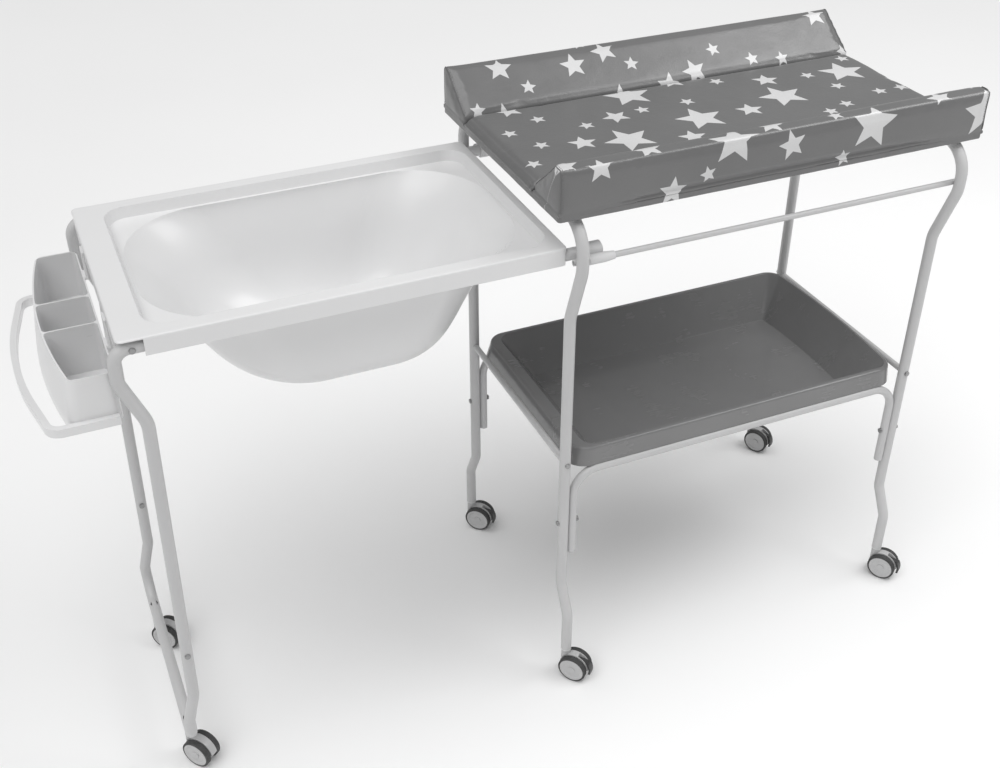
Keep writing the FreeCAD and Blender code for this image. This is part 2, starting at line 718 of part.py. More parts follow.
def bowl_sections(inset, lift):
    """Level outlines of the bowl from its mouth to its floor, drawn in by the inset."""
    left = BATH_LEFT + size("rim_left") + size("ledge_width")
    right = BATH_RIGHT - size("rim_right") - size("ledge_width")
    half_y = WELL_Y - size("ledge_width")
    mouth = RIM_TOP - size("ledge_drop")
    depth = size("bowl_depth") - size("ledge_drop")
    length = right - left
    # share of the depth, left and right draw-in as shares of the length, half width and corner as shares
    stations = [
        (0.0, 0.0, 0.0, 1.0, 0.74),
        (0.25, 0.075, 0.085, 0.93, 0.76),
        (0.55, 0.14, 0.14, 0.86, 0.78),
        (0.82, 0.205, 0.185, 0.77, 0.80),
        (0.95, 0.26, 0.22, 0.66, 0.82),
        (1.0, 0.33, 0.29, 0.50, 0.84),
    ]
    wires = []
    for down, from_left, from_right, width, corner in stations:
        level = mouth - depth * down + lift * down
        half = half_y * width - inset
        wires.append(rounded_rectangle(left + length * from_left + inset, right - length * from_right - inset,
                                       half, half * corner, level))
    return wires


def bath_shell():
    """Moulded bath: flat rim with a turned-down skirt, an inner ledge and a bowl."""
    wall = size("bath_wall")
    skirt = size("skirt_wall")
    corner = size("rim_corner")
    well_corner = size("well_corner")
    gap = size("seat_gap")
    bottom = RIM_TOP - size("skirt_height")
    ledge = RIM_TOP - size("ledge_drop")
    rim = slab(rounded_rectangle(BATH_LEFT, BATH_RIGHT, BATH_Y, corner, bottom), size("skirt_height"))
    rim = softened(rim, size("rim_roll"), RIM_TOP)
    inside = rounded_rectangle(BATH_LEFT + skirt, BATH_RIGHT - skirt, BATH_Y - skirt, corner - skirt, bottom)
    under = slab(inside, size("skirt_height") - wall)
    left, right = BATH_LEFT + size("rim_left"), BATH_RIGHT - size("rim_right")
    draft = size("well_draft")

    def drawn_in(inset, height):
        """Outline inside the rim, drawn in all round."""
        return rounded_rectangle(left + inset, right - inset, WELL_Y - inset, well_corner - inset, height)

    well = Part.makeLoft([drawn_in(draft - wall, ledge - wall), drawn_in(-wall, RIM_TOP - wall)], True, True)
    recess = Part.makeLoft([drawn_in(draft, ledge), drawn_in(0, RIM_TOP)], True, True)
    bowl = Part.makeLoft(bowl_sections(-wall, 0.0), True, False)
    hollow = Part.makeLoft(bowl_sections(0.0, wall), True, False)
    mouth = slab(bowl_sections(0.0, wall)[0], size("ledge_drop"))
    shell = rim.cut(under).fuse(well).fuse(bowl)
    for end in ENDS.values():
        for piece in rail_rests(end):
            shell = shell.fuse(piece)
    shell = shell.cut(recess).cut(hollow).cut(mouth)
    for end in ENDS.values():
        low_y = min(end * BATH_Y, end * (BATH_Y - size("notch_width")))
        notch = Part.makeBox(size("notch_length"), size("notch_width"), size("skirt_height") - wall,
                             Vector(BATH_LEFT, low_y, bottom))
        upright = bar_between(Vector(RIGHT_SCREW_X, end * BATH_RAIL_Y, 0),
                              Vector(RIGHT_SCREW_X, end * BATH_RAIL_Y, RIM_TOP - wall), HOLE)
        level = bar_between(Vector(LEFT_SCREW_X, end * BOSS_Y - 2 * TUBE, BATH_RAIL_Z),
                            Vector(LEFT_SCREW_X, end * BOSS_Y + 2 * TUBE, BATH_RAIL_Z), HOLE)
        slot_y = end * size("slot_spread") / 2 - size("slot_width") / 2
        slot = Part.makeBox(2 * skirt, size("slot_width"), size("slot_height"),
                            Vector(BATH_LEFT - skirt / 2, slot_y, SLOT_Z))
        passage = Part.makeBox(corner, 2 * TUBE + 2 * gap, BATH_RAIL_Z + TUBE + gap - bottom,
                               Vector(BATH_RIGHT - corner, end * BATH_RAIL_Y - TUBE - gap, bottom))
        for tool in (notch, upright, level, slot, passage):
            shell = shell.cut(tool)
    drain_hole = bar_between(Vector(DRAIN_X, 0, 0), Vector(DRAIN_X, 0, RIM_TOP), size("drain_bore") + 0.1)
    return shaped("bath_shell", shell.cut(drain_hole).removeSplitter())


BOSS_Y = BATH_RAIL_Y - TUBE - size("seat_gap") - size("pad_width") / 2
SLOT_Z = RIM_TOP - size("skirt_height") * 0.75


def rail_rests(end):
    """Blocks under the rim: three stand on the rail, one beside it takes the side screw."""
    long, wide = size("pad_length"), size("pad_width")
    top = RIM_TOP - size("bath_wall") / 2
    low = BATH_RAIL_Z + TUBE + size("seat_gap") / 3
    blocks = []
    rest_y = end * BATH_RAIL_Y - wide / 2
    for x in (LEFT_SCREW_X + long / 2, (BATH_LEFT + BATH_RIGHT) / 2, RIGHT_SCREW_X):
        blocks.append(Part.makeBox(long, wide, top - low, Vector(x - long / 2, rest_y, low)))
    boss_low = BATH_RAIL_Z - long / 2
    blocks.append(Part.makeBox(long, wide, top - boss_low,
                               Vector(LEFT_SCREW_X - long / 2, end * BOSS_Y - wide / 2, boss_low)))
    return blocks


def bath_leg(name, end):
    """Tube that carries one side of the bath and runs on as its leg."""
    y = end * BATH_RAIL_Y
    points = [
        Vector(SLIDER_STOP + size("bath_rail_tip"), y, BATH_RAIL_Z),
        Vector(LEG_OUT_X, y, BATH_RAIL_Z),
        Vector(LEG_OUT_X, y, BATH_RAIL_Z - size("bath_leg_hang")),
        Vector(LEG_IN_X, y, BATH_RAIL_Z - size("bath_leg_step")),
        Vector(JOINT_X, y, size("bath_joint")),
    ]
    tube = bent_tube(points, [size("bath_bend"), size("step_bend"), size("soft_bend")], TUBE, WALL)
    across = Vector(0, 2 * TUBE, 0)
    side_screw = Vector(LEFT_SCREW_X, y, BATH_RAIL_Z)
    tube = tube.cut(bar_between(side_screw - across, side_screw + across, HOLE))
    upright = Vector(0, 0, 2 * TUBE)
    right_screw = Vector(RIGHT_SCREW_X, y, BATH_RAIL_Z)
    tube = tube.cut(bar_between(right_screw - upright, right_screw + upright, HOLE))
    joint_screw = points[4] - SLOPE * (size("neck_length") / 2)
    return shaped(name, tube.cut(bar_between(joint_screw - across, joint_screw + across, HOLE)))


def bath_foot_frame():
    """U-shaped tube between the bath legs, with a sleeve for each caster."""
    bar_z = size("bath_bar_height")
    front = [
        Vector(JOINT_X, -BATH_RAIL_Y, size("bath_joint")),
        Vector(JOINT_X - 2, -BATH_RAIL_Y, size("knee_top")),
        Vector(FOOT_X, -BATH_RAIL_Y, size("knee_bottom")),
        Vector(FOOT_X, -BATH_RAIL_Y, bar_z),
    ]
    points = front + [Vector(p.x, -p.y, p.z) for p in reversed(front)]
    bends = [size("soft_bend") / 2, size("soft_bend") / 4, size("foot_bend")]
    frame = bent_tube(points, bends + bends[::-1], TUBE, WALL)
    sleeve = size("sleeve_od") / 2
    for end in ENDS.values():
        at_joint = JOINT_AT + Vector(0, end * BATH_RAIL_Y, 0)
        stub = neck(at_joint, SLOPE * -1, TUBE - WALL)
        middle = at_joint - SLOPE * (size("neck_length") / 2)
        stub = stub.cut(bar_between(middle - Vector(0, 2 * TUBE, 0), middle + Vector(0, 2 * TUBE, 0), HOLE))
        frame = frame.fuse(stub)
        foot = Vector(FOOT_X, end * size("bath_foot_spread") / 2, 0)
        low, high = Vector(foot.x, foot.y, size("leg_end")), Vector(foot.x, foot.y, bar_z)
        frame = frame.fuse(bar_between(low, high, sleeve))
        frame = frame.cut(bar_between(low, high + Vector(0, 0, TUBE - WALL), sleeve - size("sleeve_wall")))
    return shaped("bath_foot_frame", frame)


def slider(name, end):
    """Moulded block: one ring grips the bath rail's end, the other slides on the guide rod."""
    wall = size("slider_wall")
    play = size("running_play")
    rail_start = Vector(SLIDER_START, end * BATH_RAIL_Y, BATH_RAIL_Z)
    rail_stop = Vector(SLIDER_STOP, end * BATH_RAIL_Y, BATH_RAIL_Z)
    rod_start = Vector(SLIDER_START, end * ROD_Y, ROD_Z)
    rod_stop = Vector(SLIDER_STOP, end * ROD_Y, ROD_Z)
    nose = Vector(size("slider_nose"), 0, 0)
    body = bar_between(rail_start, rail_stop, TUBE + wall)
    body = body.fuse(bar_between(rod_start, rod_stop, ROD + wall))
    body = body.fuse(Part.makeCone(ROD + wall, ROD + wall / 2, nose.x, rod_stop, nose))
    body = body.cut(bar_between(rail_start, rail_stop, TUBE + play))
    return shaped(name, body.cut(bar_between(rod_start, rod_stop + nose, ROD + play)))


def bath_screws():
    """Side screws at the left, upright screws at the right, and the leg joints' screws."""
    screws = []
    for end_name, end in ENDS.items():
        y = end * BATH_RAIL_Y
        inwards = Vector(0, -end, 0)
        side_start = Vector(LEFT_SCREW_X, y + end * TUBE, BATH_RAIL_Z)
        side_reach = 2 * TUBE + size("pad_width") * 0.8
        screws.append(screw("side_screw_" + end_name, side_start, inwards, side_reach))
        right_start = Vector(RIGHT_SCREW_X, y, BATH_RAIL_Z - TUBE)
        screws.append(screw("upright_screw_" + end_name, right_start, Vector(0, 0, 1),
                            2 * TUBE + size("head_height")))
        joint_start = JOINT_AT + Vector(0, y + end * TUBE, 0) - SLOPE * (size("neck_length") / 2)
        screws.append(screw("joint_screw_" + end_name, joint_start, inwards, 2 * TUBE + size("head_height"),
                            nut=True))
    return group("bath_screws", screws)


def drain():
    """Waste outlet under the bowl and the plug that closes it."""
    floor = RIM_TOP - size("bowl_depth")
    bore = size("drain_bore")
    wall = size("bath_wall")
    gap = size("seat_gap")

    def round_bar(low, high, radius):
        return bar_between(Vector(DRAIN_X, 0, low), Vector(DRAIN_X, 0, high), radius)

    pipe = round_bar(floor - size("outlet_length"), floor + wall, bore)
    flange = round_bar(floor - wall, floor - 0.05, bore + size("outlet_flange"))
    inside = round_bar(floor - size("outlet_length"), floor + wall, bore - wall)
    shaped("drain_outlet", pipe.fuse(flange).cut(inside))
    seat = floor + wall + gap
    stopper = round_bar(floor - 2 * wall, seat, bore - wall - gap)
    cap = round_bar(seat, seat + wall, bore + size("outlet_flange") / 2)
    ring = size("pull_ring")
    pull = Part.makeTorus(ring, ring / 4, Vector(DRAIN_X, 0, seat + wall + ring), Vector(0, 1, 0))
    shaped("drain_plug", stopper.fuse(cap).fuse(pull))


bath_shell()
for end_name, end in ENDS.items():
    bath_leg(f"bath_leg_{end_name}", end)
    slider(f"slider_{end_name}", end)
bath_foot_frame()
bath_screws()
group("bath_caster_sockets", [
    caster_socket("bath_socket_" + end_name, FOOT_X, end * size("bath_foot_spread") / 2,
                  size("sleeve_od") / 2 - size("sleeve_wall") - size("neck_play"), size("sleeve_od") / 2,
                  size("bath_bar_height") - size("leg_end") - 2 * size("sleeve_wall"))
    for end_name, end in ENDS.items()
])
drain()


# ---------------------------------------------------------------- organiser with towel bar

BOX_RIGHT = BATH_LEFT - size("box_gap")
BOX_LEFT = BOX_RIGHT - size("box_width")
BOX_HALF = BATH_RAIL_Y - TUBE - size("box_side_gap")
BOX_TOP = BAR - size("box_drop")
BOX_FLOOR = BOX_TOP - size("box_height")


def box_plan(inset, front, back, height, spread=0.0):
    """Plan of the box between two Y values, straight on the right and bowed on the left."""
    def bowed_x(y):
        return BOX_LEFT - size("box_bow") * (1 - (y / BOX_HALF) ** 2) + inset - spread
    middle = (front + back) / 2
    corners = [Vector(BOX_RIGHT - inset, front, height), Vector(BOX_RIGHT - inset, back, height),
               Vector(bowed_x(back), back, height), Vector(bowed_x(front), front, height)]
    edges = [
        Part.LineSegment(corners[0], corners[1]).toShape(),
        Part.LineSegment(corners[1], corners[2]).toShape(),
        Part.Arc(corners[2], Vector(bowed_x(middle), middle, height), corners[3]).toShape(),
        Part.LineSegment(corners[3], corners[0]).toShape(),
    ]
    return Part.Wire(edges)


def rounded_upright(solid, radius):
    """Solid with the edges that run its full height rounded."""
    tall = solid.BoundBox.ZLength
    return solid.makeFillet(radius, [edge for edge in solid.Edges if edge.BoundBox.ZLength > 0.9 * tall])


def towel_bar():
    """Flat bar that leaves the box at its corners and bows out in front of it."""
    tall = size("towel_height")
    thick = size("towel_thick")
    level = BOX_FLOOR + tall / 2
    edge_y = BOX_HALF + thick / 2 - 1
    corner_x = BOX_LEFT - size("towel_reach")
    bowed = corner_x - size("towel_bow")
    start = Vector(BOX_RIGHT - thick / 2, -edge_y, level)
    points = [
        start,
        Vector(corner_x, -edge_y, level),
        Vector(bowed, -BOX_HALF / 3, level),
        Vector(bowed, BOX_HALF / 3, level),
        Vector(corner_x, edge_y, level),
        Vector(BOX_LEFT + thick, edge_y, level),
    ]
    path = bent_path(points, [2 * thick, 3 * BOX_HALF, 3 * BOX_HALF, 2 * thick])
    corners = [(-thick / 2, -tall / 2), (thick / 2, -tall / 2), (thick / 2, tall / 2), (-thick / 2, tall / 2)]
    section = Part.makePolygon([start + Vector(0, dy, dz) for dy, dz in corners + corners[:1]])
    return swept(path, section)


def organiser_hook(end):
    """Tab that rises behind the bath's skirt slot, with an arm through it and a lip inside."""
    hook = size("hook_thick")
    gap = size("seat_gap")
    wall = size("box_wall")
    width = size("slot_width") - 4
    y = end * size("slot_spread") / 2 - width / 2
    root_z = BOX_TOP - 2 * wall
    arm_z = SLOT_Z + gap
    tab_x = BATH_LEFT - gap - hook
    lip_x = BATH_LEFT + size("skirt_wall") + gap
    root_x = BOX_RIGHT - wall
    root = Part.makeBox(tab_x + hook - root_x, width, 2 * wall, Vector(root_x, y, root_z))
    tab = Part.makeBox(hook, width, arm_z + hook - root_z, Vector(tab_x, y, root_z))
    arm = Part.makeBox(lip_x + hook - tab_x, width, hook, Vector(tab_x, y, arm_z))
    lip = Part.makeBox(hook, width, 2 * hook, Vector(lip_x, y, arm_z - hook))
    return root.fuse(tab).fuse(arm).fuse(lip)


def organiser():
    """Three-pocket box hooked on the bath's left end, with a bowed towel bar moulded on."""
    wall = size("box_wall")
    foot = box_plan(0, -BOX_HALF, BOX_HALF, BOX_FLOOR, size("box_lean"))
    mouth = box_plan(0, -BOX_HALF, BOX_HALF, BOX_TOP)
    body = rounded_upright(Part.makeLoft([foot, mouth], True, True), 6 * wall)
    edges = [-BOX_HALF + wall]
    for divider in ("divider_front", "divider_back"):
        edges += [size(divider) - wall / 2, size(divider) + wall / 2]
    edges.append(BOX_HALF - wall)
    for low, high in zip(edges[0::2], edges[1::2]):
        pocket = slab(box_plan(wall, low, high, BOX_FLOOR + wall), size("box_height"))
        body = body.cut(rounded_upright(pocket, 3 * wall))
    body = body.fuse(towel_bar())
    for end in ENDS.values():
        body = body.fuse(organiser_hook(end))
    return shaped("organiser", body.removeSplitter())


organiser()


# ---------------------------------------------------------------- casters

AXLE = dict(x="<trail>", z="<wheel_radius>")
INNER = "(<web_width> / 2 + <wheel_play>)"
OUTER = "(<web_width> / 2 + <wheel_play> + <wheel_width>)"
LEVER_X = "(<trail> + <lever_back>)"
LEVER_Z = "(<wheel_radius> + <lever_rise>)"
STEM_FOOT = "(<wheel_radius> + 16)"
UPWARDS = Rotation(Vector(1, 0, 0), 90)


def caster(name, x, y, heading, brake):
    """Twin-wheel caster, drawn about its stem with the wheels trailing along +X, then put in place."""
    spot = Placement(Vector(x, y, 0), Rotation(Vector(0, 0, 1), heading))

    def part(suffix):
        return f"{name}_{suffix}"

    web = rod(part("web"), "<wheel_radius> - <web_inset>", "<web_width>", y="-<web_width> / 2",
              rotation=ALONG_Y, **AXLE)
    crown = rod(part("crown"), "<wheel_radius> + <web_rise>", "<web_width>", y="<web_width> / 2",
                rotation=UPWARDS, **AXLE)
    crown.Angle = 180
    boss = rod(part("boss"), "<stem_radius> + <boss_wall>", "<caster_height> - <wheel_radius>",
               z="<wheel_radius>")
    whole = fuse(part("solid"), [web, crown, boss])
    bores = [
        rod(part("axle_bore"), "<axle_radius> + <running_play>", "2 * <web_width>", y="-<web_width>",
            rotation=ALONG_Y, **AXLE),
        rod(part("stem_bore"), "<stem_radius> + <pin_fit>", "<caster_height>", z=STEM_FOOT),
    ]
    for tag, low in (("near", "-<web_width> / 2 - 2 * <wheel_width>"), ("far", "<web_width> / 2")):
        room = "<wheel_radius> + <web_rise> + <wheel_play>"
        bores.append(rod(part(f"wheel_room_{tag}"), room, "2 * <wheel_width>", y=low,
                         rotation=ALONG_Y, **AXLE))
    if brake:
        slot = "(<web_width> - 2 * <lever_cheek>)"
        bores.append(box(part("lever_slot"), "<wheel_radius>", slot, "<wheel_radius>",
                         f"{LEVER_X} - 2 * <lever_pin>", f"-{slot} / 2", f"{LEVER_Z} - 3 * <lever_pin>"))
        bores.append(rod(part("lever_bore"), "<lever_pin> + <running_play>", "2 * <web_width>", LEVER_X,
                         "-<web_width>", LEVER_Z, ALONG_Y))
    housing = cut(part("housing"), whole, fuse(part("bores"), bores))

    stem_length = f"<caster_height> + <stem_length> - {STEM_FOOT} - <seat_gap>"
    stem = rod(part("stem_pin"), "<stem_radius>", stem_length, z=f"{STEM_FOOT} + <seat_gap>")
    axle = rod(part("axle_pin"), "<axle_radius>", f"2 * {OUTER} - 4", y=f"-{OUTER} + 2", rotation=ALONG_Y,
               **AXLE)
    pins = group(part("pins"), [stem, axle])

    blank = rod(part("hub_blank"), "<hub_radius>", "<wheel_width>", y=INNER, rotation=ALONG_Y, **AXLE)
    dish = doc.addObject("Part::Cone", part("hub_dish"))
    bind(dish, Radius1="<hub_radius> - 7", Radius2="<hub_radius> - 3", Height="2")
    place(dish, AXLE["x"], f"{OUTER} - 1.5", AXLE["z"], ALONG_Y)
    boss_cap = rod(part("hub_cap"), "<axle_radius> + 4", "2", y=f"{OUTER} - 2", rotation=ALONG_Y, **AXLE)
    hole = rod(part("hub_hole"), "<axle_radius> + <running_play>", "<wheel_width> - 1.5", y=f"{INNER} - 0.5",
               rotation=ALONG_Y, **AXLE)
    dished = cut(part("hub_dished"), blank, dish)
    capped = fuse(part("hub_capped"), [dished, boss_cap])
    hub = cut(part("hub_near"), capped, hole)
    hubs = group(part("hubs"), [hub, mirrored(part("hub_far"), hub, Vector(0, 1, 0))])

    tread = rod(part("tread"), "<wheel_radius>", "<wheel_width>", y=INNER, rotation=ALONG_Y, **AXLE)
    seat = rod(part("tyre_seat"), "<hub_radius> + <pin_fit>", "2 * <wheel_width>", y=f"{INNER} - 1",
               rotation=ALONG_Y, **AXLE)
    ring = cut(part("tyre_ring"), tread, seat)
    doc.recompute()
    rounded = doc.addObject("Part::Fillet", part("tyre_near"))
    rounded.Base = ring
    wide = [number for number, edge in enumerate(ring.Shape.Edges, start=1)
            if isinstance(edge.Curve, Part.Circle) and abs(edge.Curve.Radius - size("wheel_radius")) < 0.01]
    rounded.Edges = [(number, 2.0, 2.0) for number in wide]
    tyres = group(part("tyres"), [rounded, mirrored(part("tyre_far"), rounded, Vector(0, 1, 0))])

    moving = [housing, pins, hubs, tyres]
    if brake:
        moving.append(brake_lever(name))
    for piece in moving:
        piece.Placement = spot


def brake_lever(name):
    """Curved lever behind the wheels' body, on an arm that turns on its pivot in the body."""
    def part(suffix):
        return f"{name}_{suffix}"

    low = "-(<web_width> - 2 * <lever_cheek> - <lever_play>) / 2"
    width = "<web_width> - 2 * <lever_cheek> - <lever_play>"
    outer = rod(part("pedal_outer"), "<wheel_radius> + <lever_gap> + <lever_thick>", "<web_width>",
                y="<web_width> / 2", rotation=UPWARDS, **AXLE)
    inner = rod(part("pedal_inner"), "<wheel_radius> + <lever_gap>", "2 * <web_width>", y="<web_width>",
                rotation=UPWARDS, **AXLE)
    shoe = cut(part("pedal_ring"), outer, inner)
    reach = doc.addObject("Part::Common", part("pedal"))
    reach.Base = shoe
    reach.Tool = box(part("pedal_reach"), "2 * <wheel_radius>", "2 * <web_width>",
                     "<lever_drop> + <lever_rise>",
                     "<trail>", "-<web_width>", "<wheel_radius> - <lever_drop>")
    arm = box(part("lever_arm"), "<wheel_radius> + <lever_gap> - <lever_back>", width, "2 * <lever_pin>",
              f"{LEVER_X} - <lever_pin>", low, f"{LEVER_Z} - <lever_pin>")
    pivot = rod(part("lever_pivot"), "<lever_pin>", "<web_width>", LEVER_X, "-<web_width> / 2", LEVER_Z,
                ALONG_Y)
    return fuse(part("brake"), [reach, arm, pivot])


caster("caster_front_left", -HOOP_X, -FOOT_Y, -50, brake=True)
caster("caster_front_right", HOOP_X, -FOOT_Y, -56, brake=True)
caster("caster_back_left", -HOOP_X, FOOT_Y, -44, brake=True)
caster("caster_back_right", HOOP_X, FOOT_Y, -58, brake=True)
caster("caster_bath_front", FOOT_X, -size("bath_foot_spread") / 2, -50, brake=False)
caster("caster_bath_back", FOOT_X, size("bath_foot_spread") / 2, -40, brake=False)


# ---------------------------------------------------------------- sub-parts, checks and files

CASTERS = ["front_left", "front_right", "back_left", "back_right", "bath_front", "bath_back"]
NODES = ["left_hoop", "right_hoop"]
NODES += [f"lower_leg_{end}_{side}" for end in ENDS for side in SIDES]
NODES += ["shelf_cross_bars", "shelf_rail_front", "shelf_rail_back", "guide_rod_front", "guide_rod_back"]
NODES += ["frame_screws", "leg_caster_sockets"]
NODES += ["changer_board", "changer_mat", "front_bolster", "back_bolster", "changer_clips", "storage_tray"]
NODES += ["bath_shell", "bath_leg_front", "bath_leg_back", "bath_foot_frame", "slider_front", "slider_back"]
NODES += ["bath_screws", "bath_caster_sockets", "drain_outlet", "drain_plug", "organiser"]
NODES += [f"caster_{place_name}_{piece}" for place_name in CASTERS
          for piece in ("housing", "pins", "hubs", "tyres")]
NODES += [f"caster_{place_name}_brake" for place_name in CASTERS[:4]]

doc.recompute()
for entry in doc.Objects:
    if "Invalid" in entry.State or "Error" in entry.State:
        raise RuntimeError(f"{entry.Name} failed: {entry.State}")
pieces = {}
for node in NODES:
    piece = doc.getObject(node)
    if piece is None or piece.Shape.isNull() or not piece.Shape.isValid():
        raise RuntimeError(f"{node} has no valid shape")
    piece.Label = node
    pieces[node] = piece

overall = FreeCAD.BoundBox()
for piece in pieces.values():
    overall.add(piece.Shape.optimalBoundingBox(False, False))
to_origin = Vector(-overall.Center.x, -overall.Center.y, -overall.ZMin)
for piece in pieces.values():
    piece.Placement = Placement(to_origin, Rotation()).multiply(piece.Placement)
doc.recompute()

os.makedirs("parts", exist_ok=True)
for node, piece in pieces.items():
    if piece.Shape.isNull() or not piece.Shape.isValid():
        raise RuntimeError(f"{node} has no valid shape")
    piece.Shape.exportStep(f"parts/{node}.step")
print(f"{len(pieces)} sub-parts, {overall.XLength:.1f} x {overall.YLength:.1f} x {overall.ZLength:.1f} mm")
print("moved by", to_origin)
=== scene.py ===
import json
import math
import random

import bmesh
import bpy
from mathutils import Matrix, Vector, noise
from mathutils.bvhtree import BVHTree


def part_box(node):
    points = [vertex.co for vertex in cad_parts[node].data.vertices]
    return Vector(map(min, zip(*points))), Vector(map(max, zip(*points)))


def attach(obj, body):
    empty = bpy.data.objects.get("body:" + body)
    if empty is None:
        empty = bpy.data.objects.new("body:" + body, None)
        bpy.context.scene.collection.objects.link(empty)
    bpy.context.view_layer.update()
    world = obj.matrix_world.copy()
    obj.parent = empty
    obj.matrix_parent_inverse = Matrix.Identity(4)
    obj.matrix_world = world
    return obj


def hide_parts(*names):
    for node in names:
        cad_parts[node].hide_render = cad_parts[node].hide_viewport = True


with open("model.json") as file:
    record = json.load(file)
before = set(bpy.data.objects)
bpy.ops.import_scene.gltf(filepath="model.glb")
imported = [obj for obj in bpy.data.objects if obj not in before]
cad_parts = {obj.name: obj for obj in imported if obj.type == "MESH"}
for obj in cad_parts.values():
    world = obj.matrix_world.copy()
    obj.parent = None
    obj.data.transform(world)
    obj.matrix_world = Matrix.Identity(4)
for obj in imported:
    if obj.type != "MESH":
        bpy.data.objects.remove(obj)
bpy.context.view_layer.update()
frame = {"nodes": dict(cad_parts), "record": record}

NODES = frame["nodes"]
SCENE = bpy.context.scene
TAU = 2 * math.pi

# ---------------------------------------------------------------- places, from the frame
LEFT_HOOP, RIGHT_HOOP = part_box("left_hoop"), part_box("right_hoop")
MIDDLE = Vector((
    (LEFT_HOOP[0].x + RIGHT_HOOP[1].x) / 2,
    (LEFT_HOOP[0].y + LEFT_HOOP[1].y) / 2,
    0,
))
BOARD_LOW, BOARD_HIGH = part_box("changer_board")
MAT_LOW, MAT_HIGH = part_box("changer_mat")
FRONT_LOW, FRONT_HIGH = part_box("front_bolster")
BACK_LOW, BACK_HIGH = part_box("back_bolster")

# Flat tops of the front and back bolster, metres.
PAD_TOP_WIDTH = 0.022
BACK_TOP_WIDTH = 0.012
SLOPE_FOOT = MAT_HIGH.z
FACE_HEIGHT = FRONT_HIGH.z - FRONT_LOW.z
SLOPE_LENGTH = math.hypot(FRONT_HIGH.y - FRONT_LOW.y - PAD_TOP_WIDTH, FRONT_HIGH.z - SLOPE_FOOT)
HALF_MAT = (MAT_HIGH.y - MAT_LOW.y) / 2


# ---------------------------------------------------------------- node trees
class Recipe:
    """The node tree of one procedural material."""

    def __init__(self, name):
        self.material = bpy.data.materials.new(name)
        self.material.use_nodes = True
        self.tree = self.material.node_tree
        self.tree.nodes.clear()
        self.shader = self.add("ShaderNodeBsdfPrincipled")
        output = self.add("ShaderNodeOutputMaterial")
        self.link(self.shader.outputs["BSDF"], output.inputs["Surface"])
        self.coordinates = self.add("ShaderNodeTexCoord").outputs["Object"]

    def add(self, kind, **settings):
        node = self.tree.nodes.new(kind)
        for key, value in settings.items():
            setattr(node, key, value)
        return node

    def link(self, source, target):
        self.tree.links.new(source, target)

    def noise(self, scale, detail=3.0, stretch=None, roughness=0.55):
        """Noise value over the piece; the scale is in cells per metre."""
        node = self.add("ShaderNodeTexNoise")
        node.inputs["Scale"].default_value = scale
        node.inputs["Detail"].default_value = detail
        node.inputs["Roughness"].default_value = roughness
        source = self.coordinates
        if stretch:
            mapping = self.add("ShaderNodeMapping")
            mapping.inputs["Scale"].default_value = stretch
            self.link(source, mapping.inputs["Vector"])
            source = mapping.outputs["Vector"]
        self.link(source, node.inputs["Vector"])
        return node.outputs["Fac"]

    def span(self, value, low, high, start=0.3, stop=0.7):
        """The value carried from start..stop to low..high, held at both ends."""
        node = self.add("ShaderNodeMapRange", clamp=True)
        node.inputs["From Min"].default_value = start
        node.inputs["From Max"].default_value = stop
        node.inputs["To Min"].default_value = low
        node.inputs["To Max"].default_value = high
        self.link(value, node.inputs["Value"])
        return node.outputs["Result"]

    def tint(self, factor, first, second):
        """First colour where the factor is 0, second where it is 1."""
        node = self.add("ShaderNodeMix", data_type="RGBA")
        for socket, value in ((node.inputs[6], first), (node.inputs[7], second)):
            if isinstance(value, bpy.types.NodeSocket):
                self.link(value, socket)
            else:
                socket.default_value = (*value, 1)
        self.link(factor, node.inputs[0])
        return node.outputs[2]

    def math(self, operation, first, second=None, third=None):
        node = self.add("ShaderNodeMath", operation=operation)
        for socket, value in zip(node.inputs, (first, second, third)):
            if isinstance(value, bpy.types.NodeSocket):
                self.link(value, socket)
            elif value is not None:
                socket.default_value = value
        return node.outputs[0]

    def bump(self, height, depth, below=None, strength=1.0):
        """Bump of a height field, depth in metres, laid over another normal."""
        node = self.add("ShaderNodeBump")
        node.inputs["Strength"].default_value = strength
        node.inputs["Distance"].default_value = depth
        self.link(height, node.inputs["Height"])
        if below:
            self.link(below, node.inputs["Normal"])
        return node.outputs["Normal"]

    def eased_edges(self, radius):
        """Normal rounded over sharp edges, and a mask that is 1 along them."""
        node = self.add("ShaderNodeBevel", samples=6)
        node.inputs["Radius"].default_value = radius
        normal = self.add("ShaderNodeNewGeometry").outputs["Normal"]
        dot = self.add("ShaderNodeVectorMath", operation="DOT_PRODUCT")
        self.link(node.outputs["Normal"], dot.inputs[0])
        self.link(normal, dot.inputs[1])
        return node.outputs["Normal"], self.span(dot.outputs["Value"], 1.0, 0.0, 0.8, 0.99)


def grey(value):
    return (value, value, value * 1.004)


